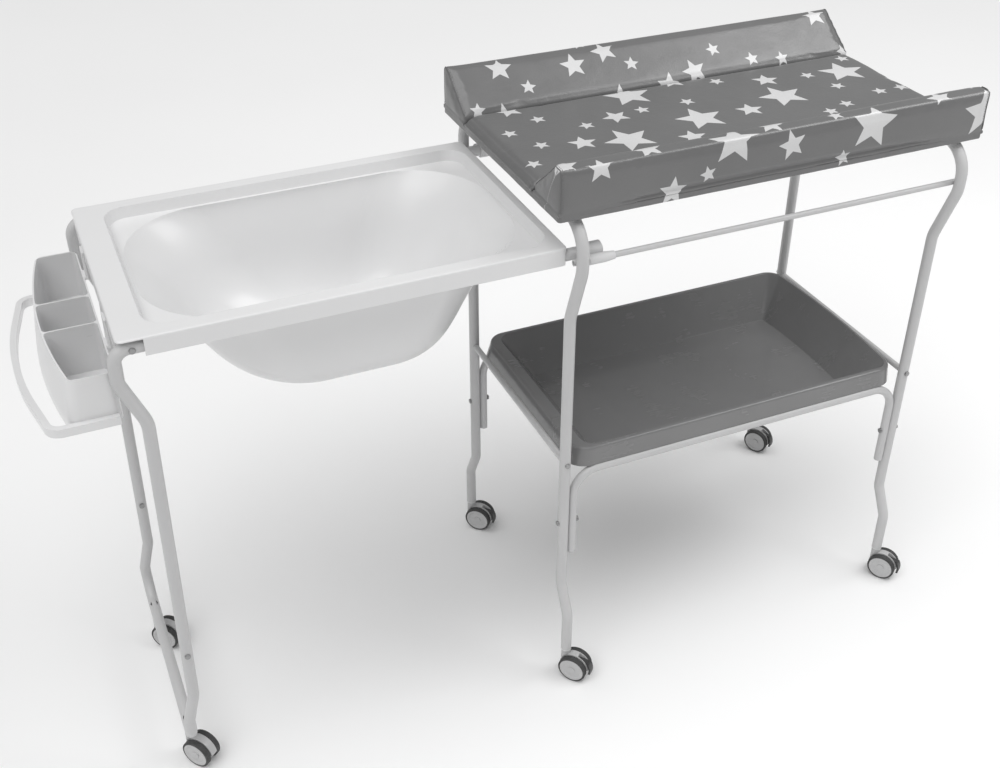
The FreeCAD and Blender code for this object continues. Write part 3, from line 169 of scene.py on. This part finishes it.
def moulded(name, tone, *, spread=0.04, rough=0.4, rough_spread=0.08, grain=900, depth=0.00004,
            waves=22, wave_depth=0.0, edge=0.0008, edge_tone=None, metal=0.0, coat=0.0, brush=None,
            dust=None, specular=0.5):
    """Plastic, paint or metal: mottled tone, uneven gloss, fine grain, softened and rubbed edges."""
    recipe = Recipe(name)
    shader = recipe.shader
    broad = recipe.noise(6, detail=4)
    fine = recipe.noise(grain, detail=2, stretch=brush)
    colour = recipe.tint(recipe.span(broad, 0, 1), grey(tone * (1 - spread)), grey(tone * (1 + spread)))
    colour = recipe.tint(recipe.span(fine, 0, 0.16), colour, grey(tone * (1 - 2.5 * spread)))
    normal, rim = recipe.eased_edges(edge)
    worn = recipe.math("MULTIPLY", rim, recipe.span(recipe.noise(55, detail=4), 0, 0.6, 0.42, 0.66))
    colour = recipe.tint(worn, colour, grey(tone * 0.82 if edge_tone is None else edge_tone))
    if dust:
        amount, shade, scale = dust
        specks = recipe.span(recipe.noise(scale, detail=5), 0, amount, 0.5, 0.72)
        colour = recipe.tint(specks, colour, grey(shade))
    recipe.link(colour, shader.inputs["Base Color"])
    patches = recipe.span(recipe.noise(14, detail=5), rough - rough_spread, rough + rough_spread)
    scuffs = recipe.span(recipe.noise(420, detail=2, stretch=(0.06, 1, 0.6)), 0, rough_spread / 2)
    recipe.link(recipe.math("ADD", patches, scuffs), shader.inputs["Roughness"])
    if wave_depth:
        normal = recipe.bump(recipe.noise(waves, detail=2), wave_depth, normal)
    normal = recipe.bump(fine, depth, normal)
    recipe.link(normal, shader.inputs["Normal"])
    shader.inputs["Metallic"].default_value = metal
    shader.inputs["Coat Weight"].default_value = coat
    shader.inputs["Coat Roughness"].default_value = 0.06
    shader.inputs["Specular IOR Level"].default_value = specular
    return recipe.material


FINISHES = {
    "white_tube": moulded("powder_coat", 0.55, spread=0.02, rough=0.36, grain=1400, depth=0.00005,
                          edge_tone=0.5, wave_depth=0.00005, waves=160),
    "screw_steel": moulded("zinc_plate", 0.36, spread=0.14, rough=0.34, grain=2600, metal=1.0,
                           edge=0.0003, edge_tone=0.6),
    "pin_steel": moulded("turned_steel", 0.48, spread=0.1, rough=0.24, grain=2400, metal=1.0,
                         brush=(1, 1, 0.04), edge=0.0003, edge_tone=0.7),
    "white_plastic_gloss": moulded("glossy_moulding", 0.76, spread=0.012, rough=0.3, rough_spread=0.03,
                                   grain=700, depth=0.000012, wave_depth=0.0003, waves=9, edge=0.0008,
                                   edge_tone=0.72, coat=0.12),
    "white_plastic_matte": moulded("grained_moulding", 0.66, spread=0.03, rough=0.5, grain=1600,
                                   depth=0.00008, edge_tone=0.55),
    "dark_plastic": moulded("vacuum_formed_grey", 0.19, spread=0.05, rough=0.24, rough_spread=0.04,
                            grain=900, depth=0.00002, wave_depth=0.0005, waves=11, edge=0.001,
                            edge_tone=0.26, coat=0.35),
    "board": moulded("fibreboard", 0.32, spread=0.16, rough=0.72, grain=700, depth=0.0001,
                     dust=(0.35, 0.18, 420)),
    "caster_body": moulded("caster_moulding", 0.5, spread=0.03, rough=0.4, grain=1500, depth=0.00006,
                           edge_tone=0.4),
    "hub_plastic": moulded("hub_moulding", 0.52, spread=0.03, rough=0.3, grain=1200, depth=0.00004,
                           edge_tone=0.42, dust=(0.12, 0.25, 260)),
    "tyre": moulded("tread_rubber", 0.045, spread=0.12, rough=0.6, grain=1300, depth=0.00015,
                    edge_tone=0.1, dust=(0.3, 0.14, 330)),
    "lever_plastic": moulded("lever_moulding", 0.05, spread=0.08, rough=0.42, grain=1500, depth=0.00008,
                             edge_tone=0.12),
    "plug_rubber": moulded("plug_rubber", 0.3, spread=0.05, rough=0.55, grain=1300, depth=0.0001),
}


# ---------------------------------------------------------------- printed vinyl
# Steepness of a star's arms, which sets how sharp its points are.
STAR_POINT = 2.404


def star_group():
    """Mask of one five-pointed star: 1 inside it."""
    group = bpy.data.node_groups.new("star", "ShaderNodeTree")
    sockets = (("Point", "Vector"), ("Centre", "Vector"), ("Turn", "Float"), ("Size", "Float"))
    for name, kind in sockets:
        group.interface.new_socket(name, in_out="INPUT", socket_type="NodeSocket" + kind)
    group.interface.new_socket("Mask", in_out="OUTPUT", socket_type="NodeSocketFloat")
    nodes, links = group.nodes, group.links
    entry = nodes.new("NodeGroupInput")
    offset = nodes.new("ShaderNodeVectorMath")
    offset.operation = "SUBTRACT"
    links.new(entry.outputs["Point"], offset.inputs[0])
    links.new(entry.outputs["Centre"], offset.inputs[1])
    length = nodes.new("ShaderNodeVectorMath")
    length.operation = "LENGTH"
    links.new(offset.outputs[0], length.inputs[0])
    parts = nodes.new("ShaderNodeSeparateXYZ")
    links.new(offset.outputs[0], parts.inputs[0])

    def step(operation, *values):
        node = nodes.new("ShaderNodeMath")
        node.operation = operation
        for socket, value in zip(node.inputs, values):
            if isinstance(value, (int, float)):
                socket.default_value = value
            else:
                links.new(value, socket)
        return node.outputs[0]

    angle = step("ARCTAN2", parts.outputs["X"], parts.outputs["Y"])
    angle = step("ADD", angle, entry.outputs["Turn"])
    folded = step("ABSOLUTE", step("WRAP", angle, math.pi / 5, -math.pi / 5))
    edge = step("ADD", step("COSINE", folded), step("MULTIPLY", step("SINE", folded), STAR_POINT))
    reach = step("MULTIPLY", edge, length.outputs["Value"])
    leave = nodes.new("NodeGroupOutput")
    links.new(step("LESS_THAN", reach, entry.outputs["Size"]), leave.inputs[0])
    return group


# The print's large, middle and small stars: size from tip to tip in metres, and how many the cover carries.
STAR_KINDS = [(0.092, 12), (0.052, 28), (0.030, 34)]
# Least space between stars in metres, greatest lean in degrees, tries for each star, and the scatter's seed.
STAR_GAP = 0.006
STAR_LEAN = 16
STAR_TRIES = 400
STAR_SEED = 8
# The hem shows only stars this far from the mat's middle line, or outside these places along X.
HEM_ACROSS = 0.28
HEM_ENDS = (0.04, 0.76)


def printed_stars():
    """(x, distance across, radius, turn) of each star, scattered over the unfolded cover without touching."""
    scatter = random.Random(STAR_SEED)
    reach = HALF_MAT + PAD_TOP_WIDTH + SLOPE_LENGTH + FACE_HEIGHT
    found = []
    for width, count in STAR_KINDS:
        wanted = len(found) + count
        for _ in range(count * STAR_TRIES):
            x = scatter.uniform(0, MAT_HIGH.x - MAT_LOW.x)
            across = scatter.uniform(-reach, reach)
            room = [math.hypot(x - star[0], across - star[1]) - star[2] for star in found]
            if min(room, default=1) > width / 2 + STAR_GAP:
                lean = math.radians(scatter.uniform(-STAR_LEAN, STAR_LEAN))
                found.append((x, across, width / 2, lean))
            if len(found) == wanted:
                break
    return found


STAR = star_group()


def printed_vinyl(name, shows):
    """Grey wipe-clean vinyl, fine leather grain, soft gloss, and the stars that its piece shows."""
    recipe = Recipe(name)
    shader = recipe.shader
    point = recipe.add("ShaderNodeAttribute", attribute_name="print").outputs["Vector"]
    mask = None
    for x, across, radius, turn in printed_stars():
        if not shows(x, across, radius):
            continue
        star = recipe.add("ShaderNodeGroup", node_tree=STAR)
        recipe.link(point, star.inputs["Point"])
        star.inputs["Centre"].default_value = (x, across, 0)
        star.inputs["Turn"].default_value = turn
        star.inputs["Size"].default_value = radius
        mask = star.outputs[0] if mask is None else recipe.math("MAXIMUM", mask, star.outputs[0])
    weave = recipe.noise(1500, detail=2)
    broad = recipe.noise(7, detail=4)
    ground = recipe.tint(recipe.span(broad, 0, 1), grey(0.125), grey(0.145))
    ground = recipe.tint(recipe.span(weave, 0, 0.5), ground, grey(0.16))
    pale = recipe.tint(recipe.span(broad, 0, 1), grey(0.62), grey(0.68))
    pale = recipe.tint(recipe.span(recipe.noise(1100, detail=3), 0, 0.35, 0.45, 0.7), pale, grey(0.5))
    recipe.link(recipe.tint(mask, ground, pale), shader.inputs["Base Color"])
    recipe.link(recipe.span(recipe.noise(24, detail=5), 0.3, 0.4), shader.inputs["Roughness"])
    cells = recipe.add("ShaderNodeTexVoronoi", feature="SMOOTH_F1")
    cells.inputs["Scale"].default_value = 620
    recipe.link(recipe.coordinates, cells.inputs["Vector"])
    grain = recipe.bump(cells.outputs["Distance"], 0.00012)
    recipe.link(recipe.bump(recipe.noise(38, detail=3), 0.0006, grain), shader.inputs["Normal"])
    shader.inputs["Specular IOR Level"].default_value = 0.75
    shader.inputs["Sheen Weight"].default_value = 0.08
    shader.inputs["Sheen Roughness"].default_value = 0.4
    return recipe.material


VINYLS = {
    "mat": printed_vinyl("vinyl_mat", lambda x, across, radius: abs(across) < HALF_MAT + radius),
    "front": printed_vinyl("vinyl_front", lambda x, across, radius: across < radius - HALF_MAT),
    "back": printed_vinyl("vinyl_back", lambda x, across, radius: across > HALF_MAT - radius),
    "hem": printed_vinyl("vinyl_hem", lambda x, across, radius: abs(across) > HEM_ACROSS
                         or not HEM_ENDS[0] < x < HEM_ENDS[1]),
}
THREAD = moulded("seam_thread", 0.2, spread=0.1, rough=0.7, grain=3000, depth=0.0001, edge=0.0002)
WELT = moulded("welt_vinyl", 0.145, spread=0.06, rough=0.42, grain=1500, depth=0.0001, edge=0.0002)

SLOTS = {entry["node"]: entry["material_slot"] for entry in frame["record"]["subparts"]}
for node_name, node in NODES.items():
    node.data.materials.clear()
    node.data.materials.append(FINISHES.get(SLOTS[node_name], VINYLS["mat"]))


# ---------------------------------------------------------------- soft pads
# Metres: lower rim squared to the cover's plane and how far it is pulled, mesh size of the cloth, allowance
# inside the CAD box, greatest move under pressure, the mat's thinned end, and the hem below the pads.
RIM_FACE = 0.007
RIM_REACH = 0.005
VOXEL = 0.004
SHRINK = 0.001
SWELL = 0.0025
MAT_END = 0.022
HEM = 0.0015
# Cloth: pressure inside, stretch and bend stiffness, last frame of the run.
PRESSURE = 4.0
STRETCH_STIFFNESS = 40
BEND_STIFFNESS = 6
LAST_FRAME = 20


def add_object(name, mesh, material):
    piece = bpy.data.objects.new(name, mesh)
    SCENE.collection.objects.link(piece)
    mesh.materials.clear()
    mesh.materials.append(material)
    return piece


def rounded(profile, radii, steps=4):
    """Closed outline of (y, z) points with its corners rounded."""
    points = []
    count = len(profile)
    for index, corner in enumerate(profile):
        corner = Vector(corner)
        before = (Vector(profile[index - 1]) - corner).normalized()
        after = (Vector(profile[(index + 1) % count]) - corner).normalized()
        radius = radii[index]
        half = before.angle(after) / 2
        trim = radius / math.tan(half)
        centre = corner + (before + after).normalized() * (radius / math.sin(half))
        start, stop = corner + before * trim - centre, corner + after * trim - centre
        turn = start.angle_signed(stop)
        for step in range(steps + 1):
            share = -turn * step / steps
            points.append(centre + Matrix.Rotation(share, 2) @ start)
    return points


def prism(name, outline, start, stop, slices):
    """Closed mesh of an outline drawn along X."""
    mesh = bpy.data.meshes.new(name)
    bm = bmesh.new()
    rings = []
    for index in range(slices + 1):
        x = start + (stop - start) * index / slices
        rings.append([bm.verts.new((x, point.x, point.y)) for point in outline])
    count = len(outline)
    for first, second in zip(rings, rings[1:]):
        for index in range(count):
            following = (index + 1) % count
            bm.faces.new((first[index], second[index], second[following], first[following]))
    bm.faces.new(rings[0])
    bm.faces.new(reversed(rings[-1]))
    bmesh.ops.recalc_face_normals(bm, faces=bm.faces)
    bm.to_mesh(mesh)
    bm.free()
    return mesh


def apply_modifiers(piece):
    """The piece's mesh as its modifiers make it, with no modifier left."""
    depsgraph = bpy.context.evaluated_depsgraph_get()
    mesh = bpy.data.meshes.new_from_object(piece.evaluated_get(depsgraph))
    piece.modifiers.clear()
    piece.data = mesh


def fill_with_foam(piece, hold):
    """Remeshes the piece, blows it up as cloth under pressure, and caps how far it went."""
    remesh = piece.modifiers.new("remesh", "REMESH")
    remesh.mode = "VOXEL"
    remesh.voxel_size = VOXEL
    bpy.context.view_layer.update()
    apply_modifiers(piece)
    rest = [vertex.co.copy() for vertex in piece.data.vertices]
    cloth = piece.modifiers.new("cloth", "CLOTH")
    cloth.settings.use_pressure = True
    cloth.settings.uniform_pressure_force = PRESSURE
    cloth.settings.effector_weights.gravity = 0
    cloth.settings.tension_stiffness = STRETCH_STIFFNESS
    cloth.settings.compression_stiffness = STRETCH_STIFFNESS
    cloth.settings.bending_stiffness = BEND_STIFFNESS
    for number in range(1, LAST_FRAME + 1):
        SCENE.frame_set(number)
    apply_modifiers(piece)
    SCENE.frame_set(1)
    for vertex, home in zip(piece.data.vertices, rest):
        move = vertex.co - home
        if move.length > SWELL:
            move *= SWELL / move.length
        vertex.co = hold(home + move)


def across_cover(y, z):
    """Distance across the unfolded cover from the mat's middle line, for a point near its outline."""
    outline = [(0, SLOPE_FOOT), (HALF_MAT, SLOPE_FOOT)]
    middle = MIDDLE.y
    edge, top = FRONT_HIGH.z, BACK_HIGH.y - middle
    outline += [(top - PAD_TOP_WIDTH, edge), (top, edge), (top, BOARD_LOW.z - 0.01)]
    side = 1 if y >= middle else -1
    spot = Vector((abs(y - middle), z))
    best, answer, run = None, 0.0, 0.0
    for first, second in zip(outline, outline[1:]):
        first, second = Vector(first), Vector(second)
        along = second - first
        share = max(0.0, min(1.0, (spot - first).dot(along) / along.length_squared))
        gap = (spot - first - along * share).length
        if best is None or gap < best:
            best, answer = gap, run + along.length * share
        run += along.length
    return side * answer


def lay_print(piece):
    """Gives each point its place on the unfolded, printed cover."""
    layer = piece.data.attributes.new("print", "FLOAT_VECTOR", "POINT")
    for vertex, entry in zip(piece.data.vertices, layer.data):
        entry.vector = (vertex.co.x - MAT_LOW.x, across_cover(vertex.co.y, vertex.co.z), 0)


def squared(co):
    """Point of a pad's lower rim moved out to the cover's plane, so that pad and hem make one face."""
    if co.z < MAT_LOW.z + RIM_FACE:
        for axis, low, high in ((0, MAT_LOW.x, MAT_HIGH.x), (1, FRONT_LOW.y, BACK_HIGH.y)):
            if co[axis] < low + RIM_REACH:
                co[axis] = low
            elif co[axis] > high - RIM_REACH:
                co[axis] = high
    return co


def finish_pad(piece, node, crease, cover):
    """Smooths the blown shape, works in creases, lays the print, hides the CAD part and hangs the piece on
    the changer top's body.
    """
    subdivide = piece.modifiers.new("subdivide", "SUBSURF")
    subdivide.levels = subdivide.render_levels = 1
    bpy.context.view_layer.update()
    apply_modifiers(piece)
    places = [vertex.co.copy() for vertex in piece.data.vertices]
    normals = [vertex.normal.copy() for vertex in piece.data.vertices]
    moved = [number for co, normal in zip(places, normals) for number in squared(co + crease(co, normal))]
    piece.data.vertices.foreach_set("co", moved)
    piece.data.update()
    for polygon in piece.data.polygons:
        polygon.use_smooth = True
    piece.data.materials.clear()
    piece.data.materials.append(VINYLS[cover])
    lay_print(piece)
    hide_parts(node)
    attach(piece, "changer_top")


def puckers(co, normal, seed, depth):
    """Small folds in the vinyl, deepest near the ends where it is gathered."""
    near_end = min(co.x - MAT_LOW.x, MAT_HIGH.x - co.x)
    strength = depth * (0.3 + 0.7 * math.exp(-near_end / 0.05))
    spot = Vector((co.x * 14, co.y * 30, co.z * 30)) + Vector((seed, 0, 0))
    return normal * (noise.noise(spot) * strength)


def thinned(x):
    """Share of the mat's thickness left near its welded ends."""
    near_end = max(0.0, min(x - MAT_LOW.x, MAT_HIGH.x - x))
    share = min(1.0, near_end / MAT_END)
    return 0.22 + 0.78 * math.sqrt(1 - (1 - share) ** 2)


def make_mat():
    """Flat middle pad, thinned where its ends are welded."""
    low, high = MAT_LOW, MAT_HIGH
    half = HALF_MAT - 0.0005
    middle = MIDDLE.y
    profile = [(middle - half, low.z), (middle + half, low.z), (middle + half, high.z - 0.001),
               (middle - half, high.z - 0.001)]
    outline = rounded(profile, [0.002, 0.002, 0.004, 0.004])
    piece = add_object("changing_mat", prism("changing_mat", outline, low.x + SHRINK, high.x - SHRINK, 160),
                       VINYLS["mat"])
    for vertex in piece.data.vertices:
        vertex.co.z = low.z + (vertex.co.z - low.z) * thinned(vertex.co.x)

    def hold(co):
        return Vector((
            min(max(co.x, low.x + 0.0004), high.x - 0.0004),
            min(max(co.y, middle - HALF_MAT), middle + HALF_MAT),
            min(max(co.z, low.z), low.z + (high.z - low.z) * thinned(co.x) + 0.002),
        ))

    fill_with_foam(piece, hold)

    def crease(co, normal):
        if normal.z < 0.3:
            return Vector()
        side = HALF_MAT - abs(co.y - middle)
        end = min(co.x - low.x, high.x - co.x)
        dip = 0.0012 * math.exp(-(side / 0.007) ** 2) + 0.0012 * math.exp(-((end - 0.012) / 0.003) ** 2)
        return puckers(co, normal, 3.1, 0.0007) - Vector((0, 0, dip))

    finish_pad(piece, "changer_mat", crease, "mat")


def make_bolster(name, node, side, seed, top_width):
    """Wedge bolster: upright outer face, narrow top, long slope down to the mat."""
    low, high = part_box(node)
    outer = high.y if side > 0 else low.y
    inner = low.y if side > 0 else high.y
    inset = SHRINK * side
    top = high.z - SHRINK
    profile = [(inner, low.z), (inner, SLOPE_FOOT - 0.003), (outer - side * top_width, top),
               (outer - inset, top - 0.001), (outer - inset, low.z)]
    radii = [0.0005, 0.001, 0.004, 0.003, 0.0005]
    if side > 0:
        profile.reverse()
        radii.reverse()
    outline = rounded(profile, radii)
    piece = add_object(name, prism(name, outline, low.x + SHRINK, high.x - SHRINK, 80), VINYLS["mat"])

    def hold(co):
        reach = (co.y - inner) * side
        proud = 0.0018 * min(1.0, max(0.0, (co.z - low.z - HEM) / 0.02)) - 0.0001
        reach = min(max(reach, 0.0), abs(outer - inner) + proud)
        return Vector((
            min(max(co.x, low.x - proud), high.x + proud),
            inner + reach * side,
            min(max(co.z, low.z), high.z + 0.001),
        ))

    fill_with_foam(piece, hold)

    def crease(co, normal):
        end = min(co.x - low.x, high.x - co.x)
        seam = 0.0014 * math.exp(-((end - 0.003) / 0.003) ** 2) * (1 - abs(normal.x))
        return puckers(co, normal, seed, 0.0009) - normal * seam

    finish_pad(piece, node, crease, "back" if side > 0 else "front")
    return piece


make_mat()
FRONT = make_bolster("front_bolster_pad", "front_bolster", -1, 7.7, PAD_TOP_WIDTH)
BACK = make_bolster("back_bolster_pad", "back_bolster", 1, 12.9, BACK_TOP_WIDTH)


# ---------------------------------------------------------------- cover round the board's edge
def make_cover_edge():
    """Vinyl drawn down over the board's edge: a thin band with a turned-in hem."""
    low, high = MAT_LOW.z + HEM, BOARD_LOW.z - 0.0003
    x_low, x_high = MAT_LOW.x, MAT_HIGH.x
    y_low, y_high = FRONT_LOW.y, BACK_HIGH.y
    thick = BOARD_LOW.x - MAT_LOW.x - 0.0006
    section = [(0.0012, low + 0.0012), (0.0004, low), (0.0001, low - 0.0008), (0.0, high + 0.002),
               (0.0008, high + 0.0005), (0.002, high), (thick, high), (thick, MAT_LOW.z - 0.0002),
               (0.0018, MAT_LOW.z - 0.0002)]
    corner = 0.006
    spots = []
    corners = [(x_high - corner, y_low + corner, -math.pi / 2), (x_high - corner, y_high - corner, 0),
               (x_low + corner, y_high - corner, math.pi / 2), (x_low + corner, y_low + corner, math.pi)]
    for index, (x, y, start) in enumerate(corners):
        for step in range(7):
            angle = start + math.pi / 2 * step / 6
            spots.append((Vector((x, y)), Vector((math.cos(angle), math.sin(angle)))))
        following = corners[(index + 1) % 4]
        run = Vector(following[:2]) - Vector((x, y))
        pieces = max(2, int(run.length / 0.012))
        facing = Vector((math.cos(following[2]), math.sin(following[2])))
        for step in range(1, pieces):
            spots.append((Vector((x, y)) + run * step / pieces, facing))
    bm = bmesh.new()
    rings = []
    for centre, facing in spots:
        wobble = 0.0004 * noise.noise(Vector((centre.x * 40, centre.y * 40, 0.5)))
        ring = []
        for inset, z in section:
            place = centre + facing * (corner - inset + wobble * (inset < thick))
            ring.append(bm.verts.new((place.x, place.y, z)))
        rings.append(ring)
    for first, second in zip(rings, rings[1:] + rings[:1]):
        for index in range(len(section)):
            following = (index + 1) % len(section)
            bm.faces.new((first[index], first[following], second[following], second[index]))
    bmesh.ops.recalc_face_normals(bm, faces=bm.faces)
    mesh = bpy.data.meshes.new("cover_edge")
    bm.to_mesh(mesh)
    bm.free()
    piece = add_object("cover_edge", mesh, VINYLS["hem"])
    lay_print(piece)
    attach(piece, "changer_top")


make_cover_edge()


# ---------------------------------------------------------------- welts and stitches at the bolsters' ends
STITCH_PITCH = 0.0045
STITCH_LENGTH = 0.0028
STITCH_RADIUS = 0.00045
WELT_RADIUS = 0.0009


def end_line(tree, node, side, top_width, x):
    """Evenly spaced (place, normal) on a bolster's skin, from inner foot over the top to outer foot."""
    low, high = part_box(node)
    outer, inner = (high.y, low.y) if side > 0 else (low.y, high.y)
    corners = [(inner + side * 0.004, SLOPE_FOOT), (outer - side * top_width, high.z - 0.001),
               (outer - side * 0.002, high.z - 0.001), (outer, high.z - 0.006), (outer, low.z + 0.004)]
    spots = []
    for first, second in zip(corners, corners[1:]):
        first, second = Vector(first), Vector(second)
        count = max(1, round((second - first).length / STITCH_PITCH))
        for index in range(count):
            place = first.lerp(second, index / count)
            found, normal, _, _ = tree.find_nearest(Vector((x, place.x, place.y)))
            spots.append((found, Vector((0, normal.y, normal.z)).normalized()))
    return spots


def tube(bm, points, radius, sides=8):
    """Tube of the given points with closed, tapered ends."""
    rings = []
    last = len(points) - 1
    for index, point in enumerate(points):
        along = (points[min(index + 1, last)] - points[max(index - 1, 0)]).normalized()
        across = along.cross(Vector((1, 0, 0)))
        if across.length < 0.1:
            across = along.cross(Vector((0, 0, 1)))
        across.normalize()
        other = along.cross(across)
        width = radius * (0.45 if index in (0, last) else 1)
        rings.append([bm.verts.new(point + width * (across * math.cos(angle) + other * math.sin(angle)))
                      for angle in (TAU * step / sides for step in range(sides))])
    for first, second in zip(rings, rings[1:]):
        for index in range(sides):
            following = (index + 1) % sides
            bm.faces.new((first[index], first[following], second[following], second[index]))
    bm.faces.new(reversed(rings[0]))
    bm.faces.new(rings[-1])


def make_seams(pad, name, node, side, top_width):
    """A welt along both end edges of a bolster, and a row of stitches beside it."""
    mesh = pad.data
    tree = BVHTree.FromPolygons([vertex.co for vertex in mesh.vertices],
                                [polygon.vertices for polygon in mesh.polygons])
    welts, threads = bmesh.new(), bmesh.new()
    for edge, inward in ((MAT_LOW.x, 1), (MAT_HIGH.x, -1)):
        line = end_line(tree, node, side, top_width, edge + inward * 0.0015)
        tube(welts, [place + normal * WELT_RADIUS * 0.4 for place, normal in line], WELT_RADIUS)
        row = end_line(tree, node, side, top_width, edge + inward * 0.006)
        for (place, normal), (following, _) in zip(row, row[1:]):
            run = following - place
            if run.length < STITCH_LENGTH:
                continue
            run = run.normalized() * STITCH_LENGTH / 2
            middle = place.lerp(following, 0.5) + normal * STITCH_RADIUS * 0.5
            dip = normal * STITCH_RADIUS
            tube(threads, [middle - run - dip, middle - run / 2, middle + run / 2, middle + run - dip],
                 STITCH_RADIUS, 6)
    for kind, bm, finish in (("welts", welts, WELT), ("stitches", threads, THREAD)):
        bmesh.ops.recalc_face_normals(bm, faces=bm.faces)
        made = bpy.data.meshes.new(f"{name}_{kind}")
        bm.to_mesh(made)
        bm.free()
        piece = add_object(f"{name}_{kind}", made, finish)
        for polygon in made.polygons:
            polygon.use_smooth = True
        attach(piece, "changer_top")


make_seams(FRONT, "front_bolster", "front_bolster", -1, PAD_TOP_WIDTH)
make_seams(BACK, "back_bolster", "back_bolster", 1, BACK_TOP_WIDTH)


# ---------------------------------------------------------------- stage, light and camera

# The camera stands where the photograph was taken from: metres from the table's middle, and degrees.
CAMERA_PLACE = (-1.1544, -1.7655, 1.8497)
CAMERA_TURN, CAMERA_DROP, CAMERA_ROLL = -23.22, 34.38, -0.12
CAMERA_LENS, CAMERA_SENSOR = 45.41, 36


def make_floor():
    bm = bmesh.new()
    bmesh.ops.create_grid(bm, x_segments=8, y_segments=8, size=30)
    mesh = bpy.data.meshes.new("studio_floor")
    bm.to_mesh(mesh)
    bm.free()
    recipe = Recipe("studio_floor")
    clouds = recipe.span(recipe.noise(0.7, detail=2), 0, 1)
    shade = recipe.tint(clouds, (0.93, 0.93, 0.93), (0.95, 0.95, 0.95))
    recipe.link(shade, recipe.shader.inputs["Base Color"])
    recipe.link(recipe.span(recipe.noise(3, detail=3), 0.8, 0.95), recipe.shader.inputs["Roughness"])
    recipe.shader.inputs["Specular IOR Level"].default_value = 0.1
    floor = add_object("studio_floor", mesh, recipe.material)
    floor.location = (MIDDLE.x, MIDDLE.y, -0.0005)


def add_light(name, place, size, power, aim):
    light = bpy.data.lights.new(name, "AREA")
    light.shape = "RECTANGLE"
    light.size, light.size_y = size
    light.energy = power
    lamp = bpy.data.objects.new(name, light)
    lamp.location = MIDDLE + Vector(place)
    direction = MIDDLE + Vector(aim) - lamp.location
    lamp.rotation_euler = direction.to_track_quat("-Z", "Y").to_euler()
    SCENE.collection.objects.link(lamp)


def add_sun(name, tilt, spread, power):
    """Broad light from far away: tilt is (towards the left, towards the front) in degrees."""
    light = bpy.data.lights.new(name, "SUN")
    light.angle = math.radians(spread)
    light.energy = power
    lamp = bpy.data.objects.new(name, light)
    left, front = (math.tan(math.radians(angle)) for angle in tilt)
    lamp.rotation_euler = Vector((-left, -front, -1)).to_track_quat("-Z", "Y").to_euler()
    SCENE.collection.objects.link(lamp)


def make_camera():
    camera = bpy.data.cameras.new("camera")
    camera.sensor_width = CAMERA_SENSOR
    camera.lens = CAMERA_LENS
    camera.clip_end = 100
    holder = bpy.data.objects.new("camera", camera)
    SCENE.collection.objects.link(holder)
    turn = Matrix.Rotation(math.radians(CAMERA_TURN), 4, "Z")
    tilt = Matrix.Rotation(math.radians(90 - CAMERA_DROP), 4, "X")
    roll = Matrix.Rotation(math.radians(CAMERA_ROLL), 4, "Z")
    place = Matrix.Translation(MIDDLE + Vector(CAMERA_PLACE))
    holder.matrix_world = place @ turn @ tilt @ roll
    SCENE.camera = holder


make_floor()
add_sun("sky", (-20, -12), 60, 1.62)
add_light("key", (-2.4, -1.6, 3.0), (1.6, 1.6), 8, (-0.2, 0, 0.7))
add_light("top", (1.9, -0.8, 3.3), (2.2, 1.6), 48, (0.2, 0, 0.9))
make_camera()

world = bpy.data.worlds.new("studio")
world.use_nodes = True
world.node_tree.nodes["Background"].inputs["Color"].default_value = (1, 1, 1, 1)
world.node_tree.nodes["Background"].inputs["Strength"].default_value = 0.34
SCENE.world = world
SCENE.view_settings.view_transform = "Standard"
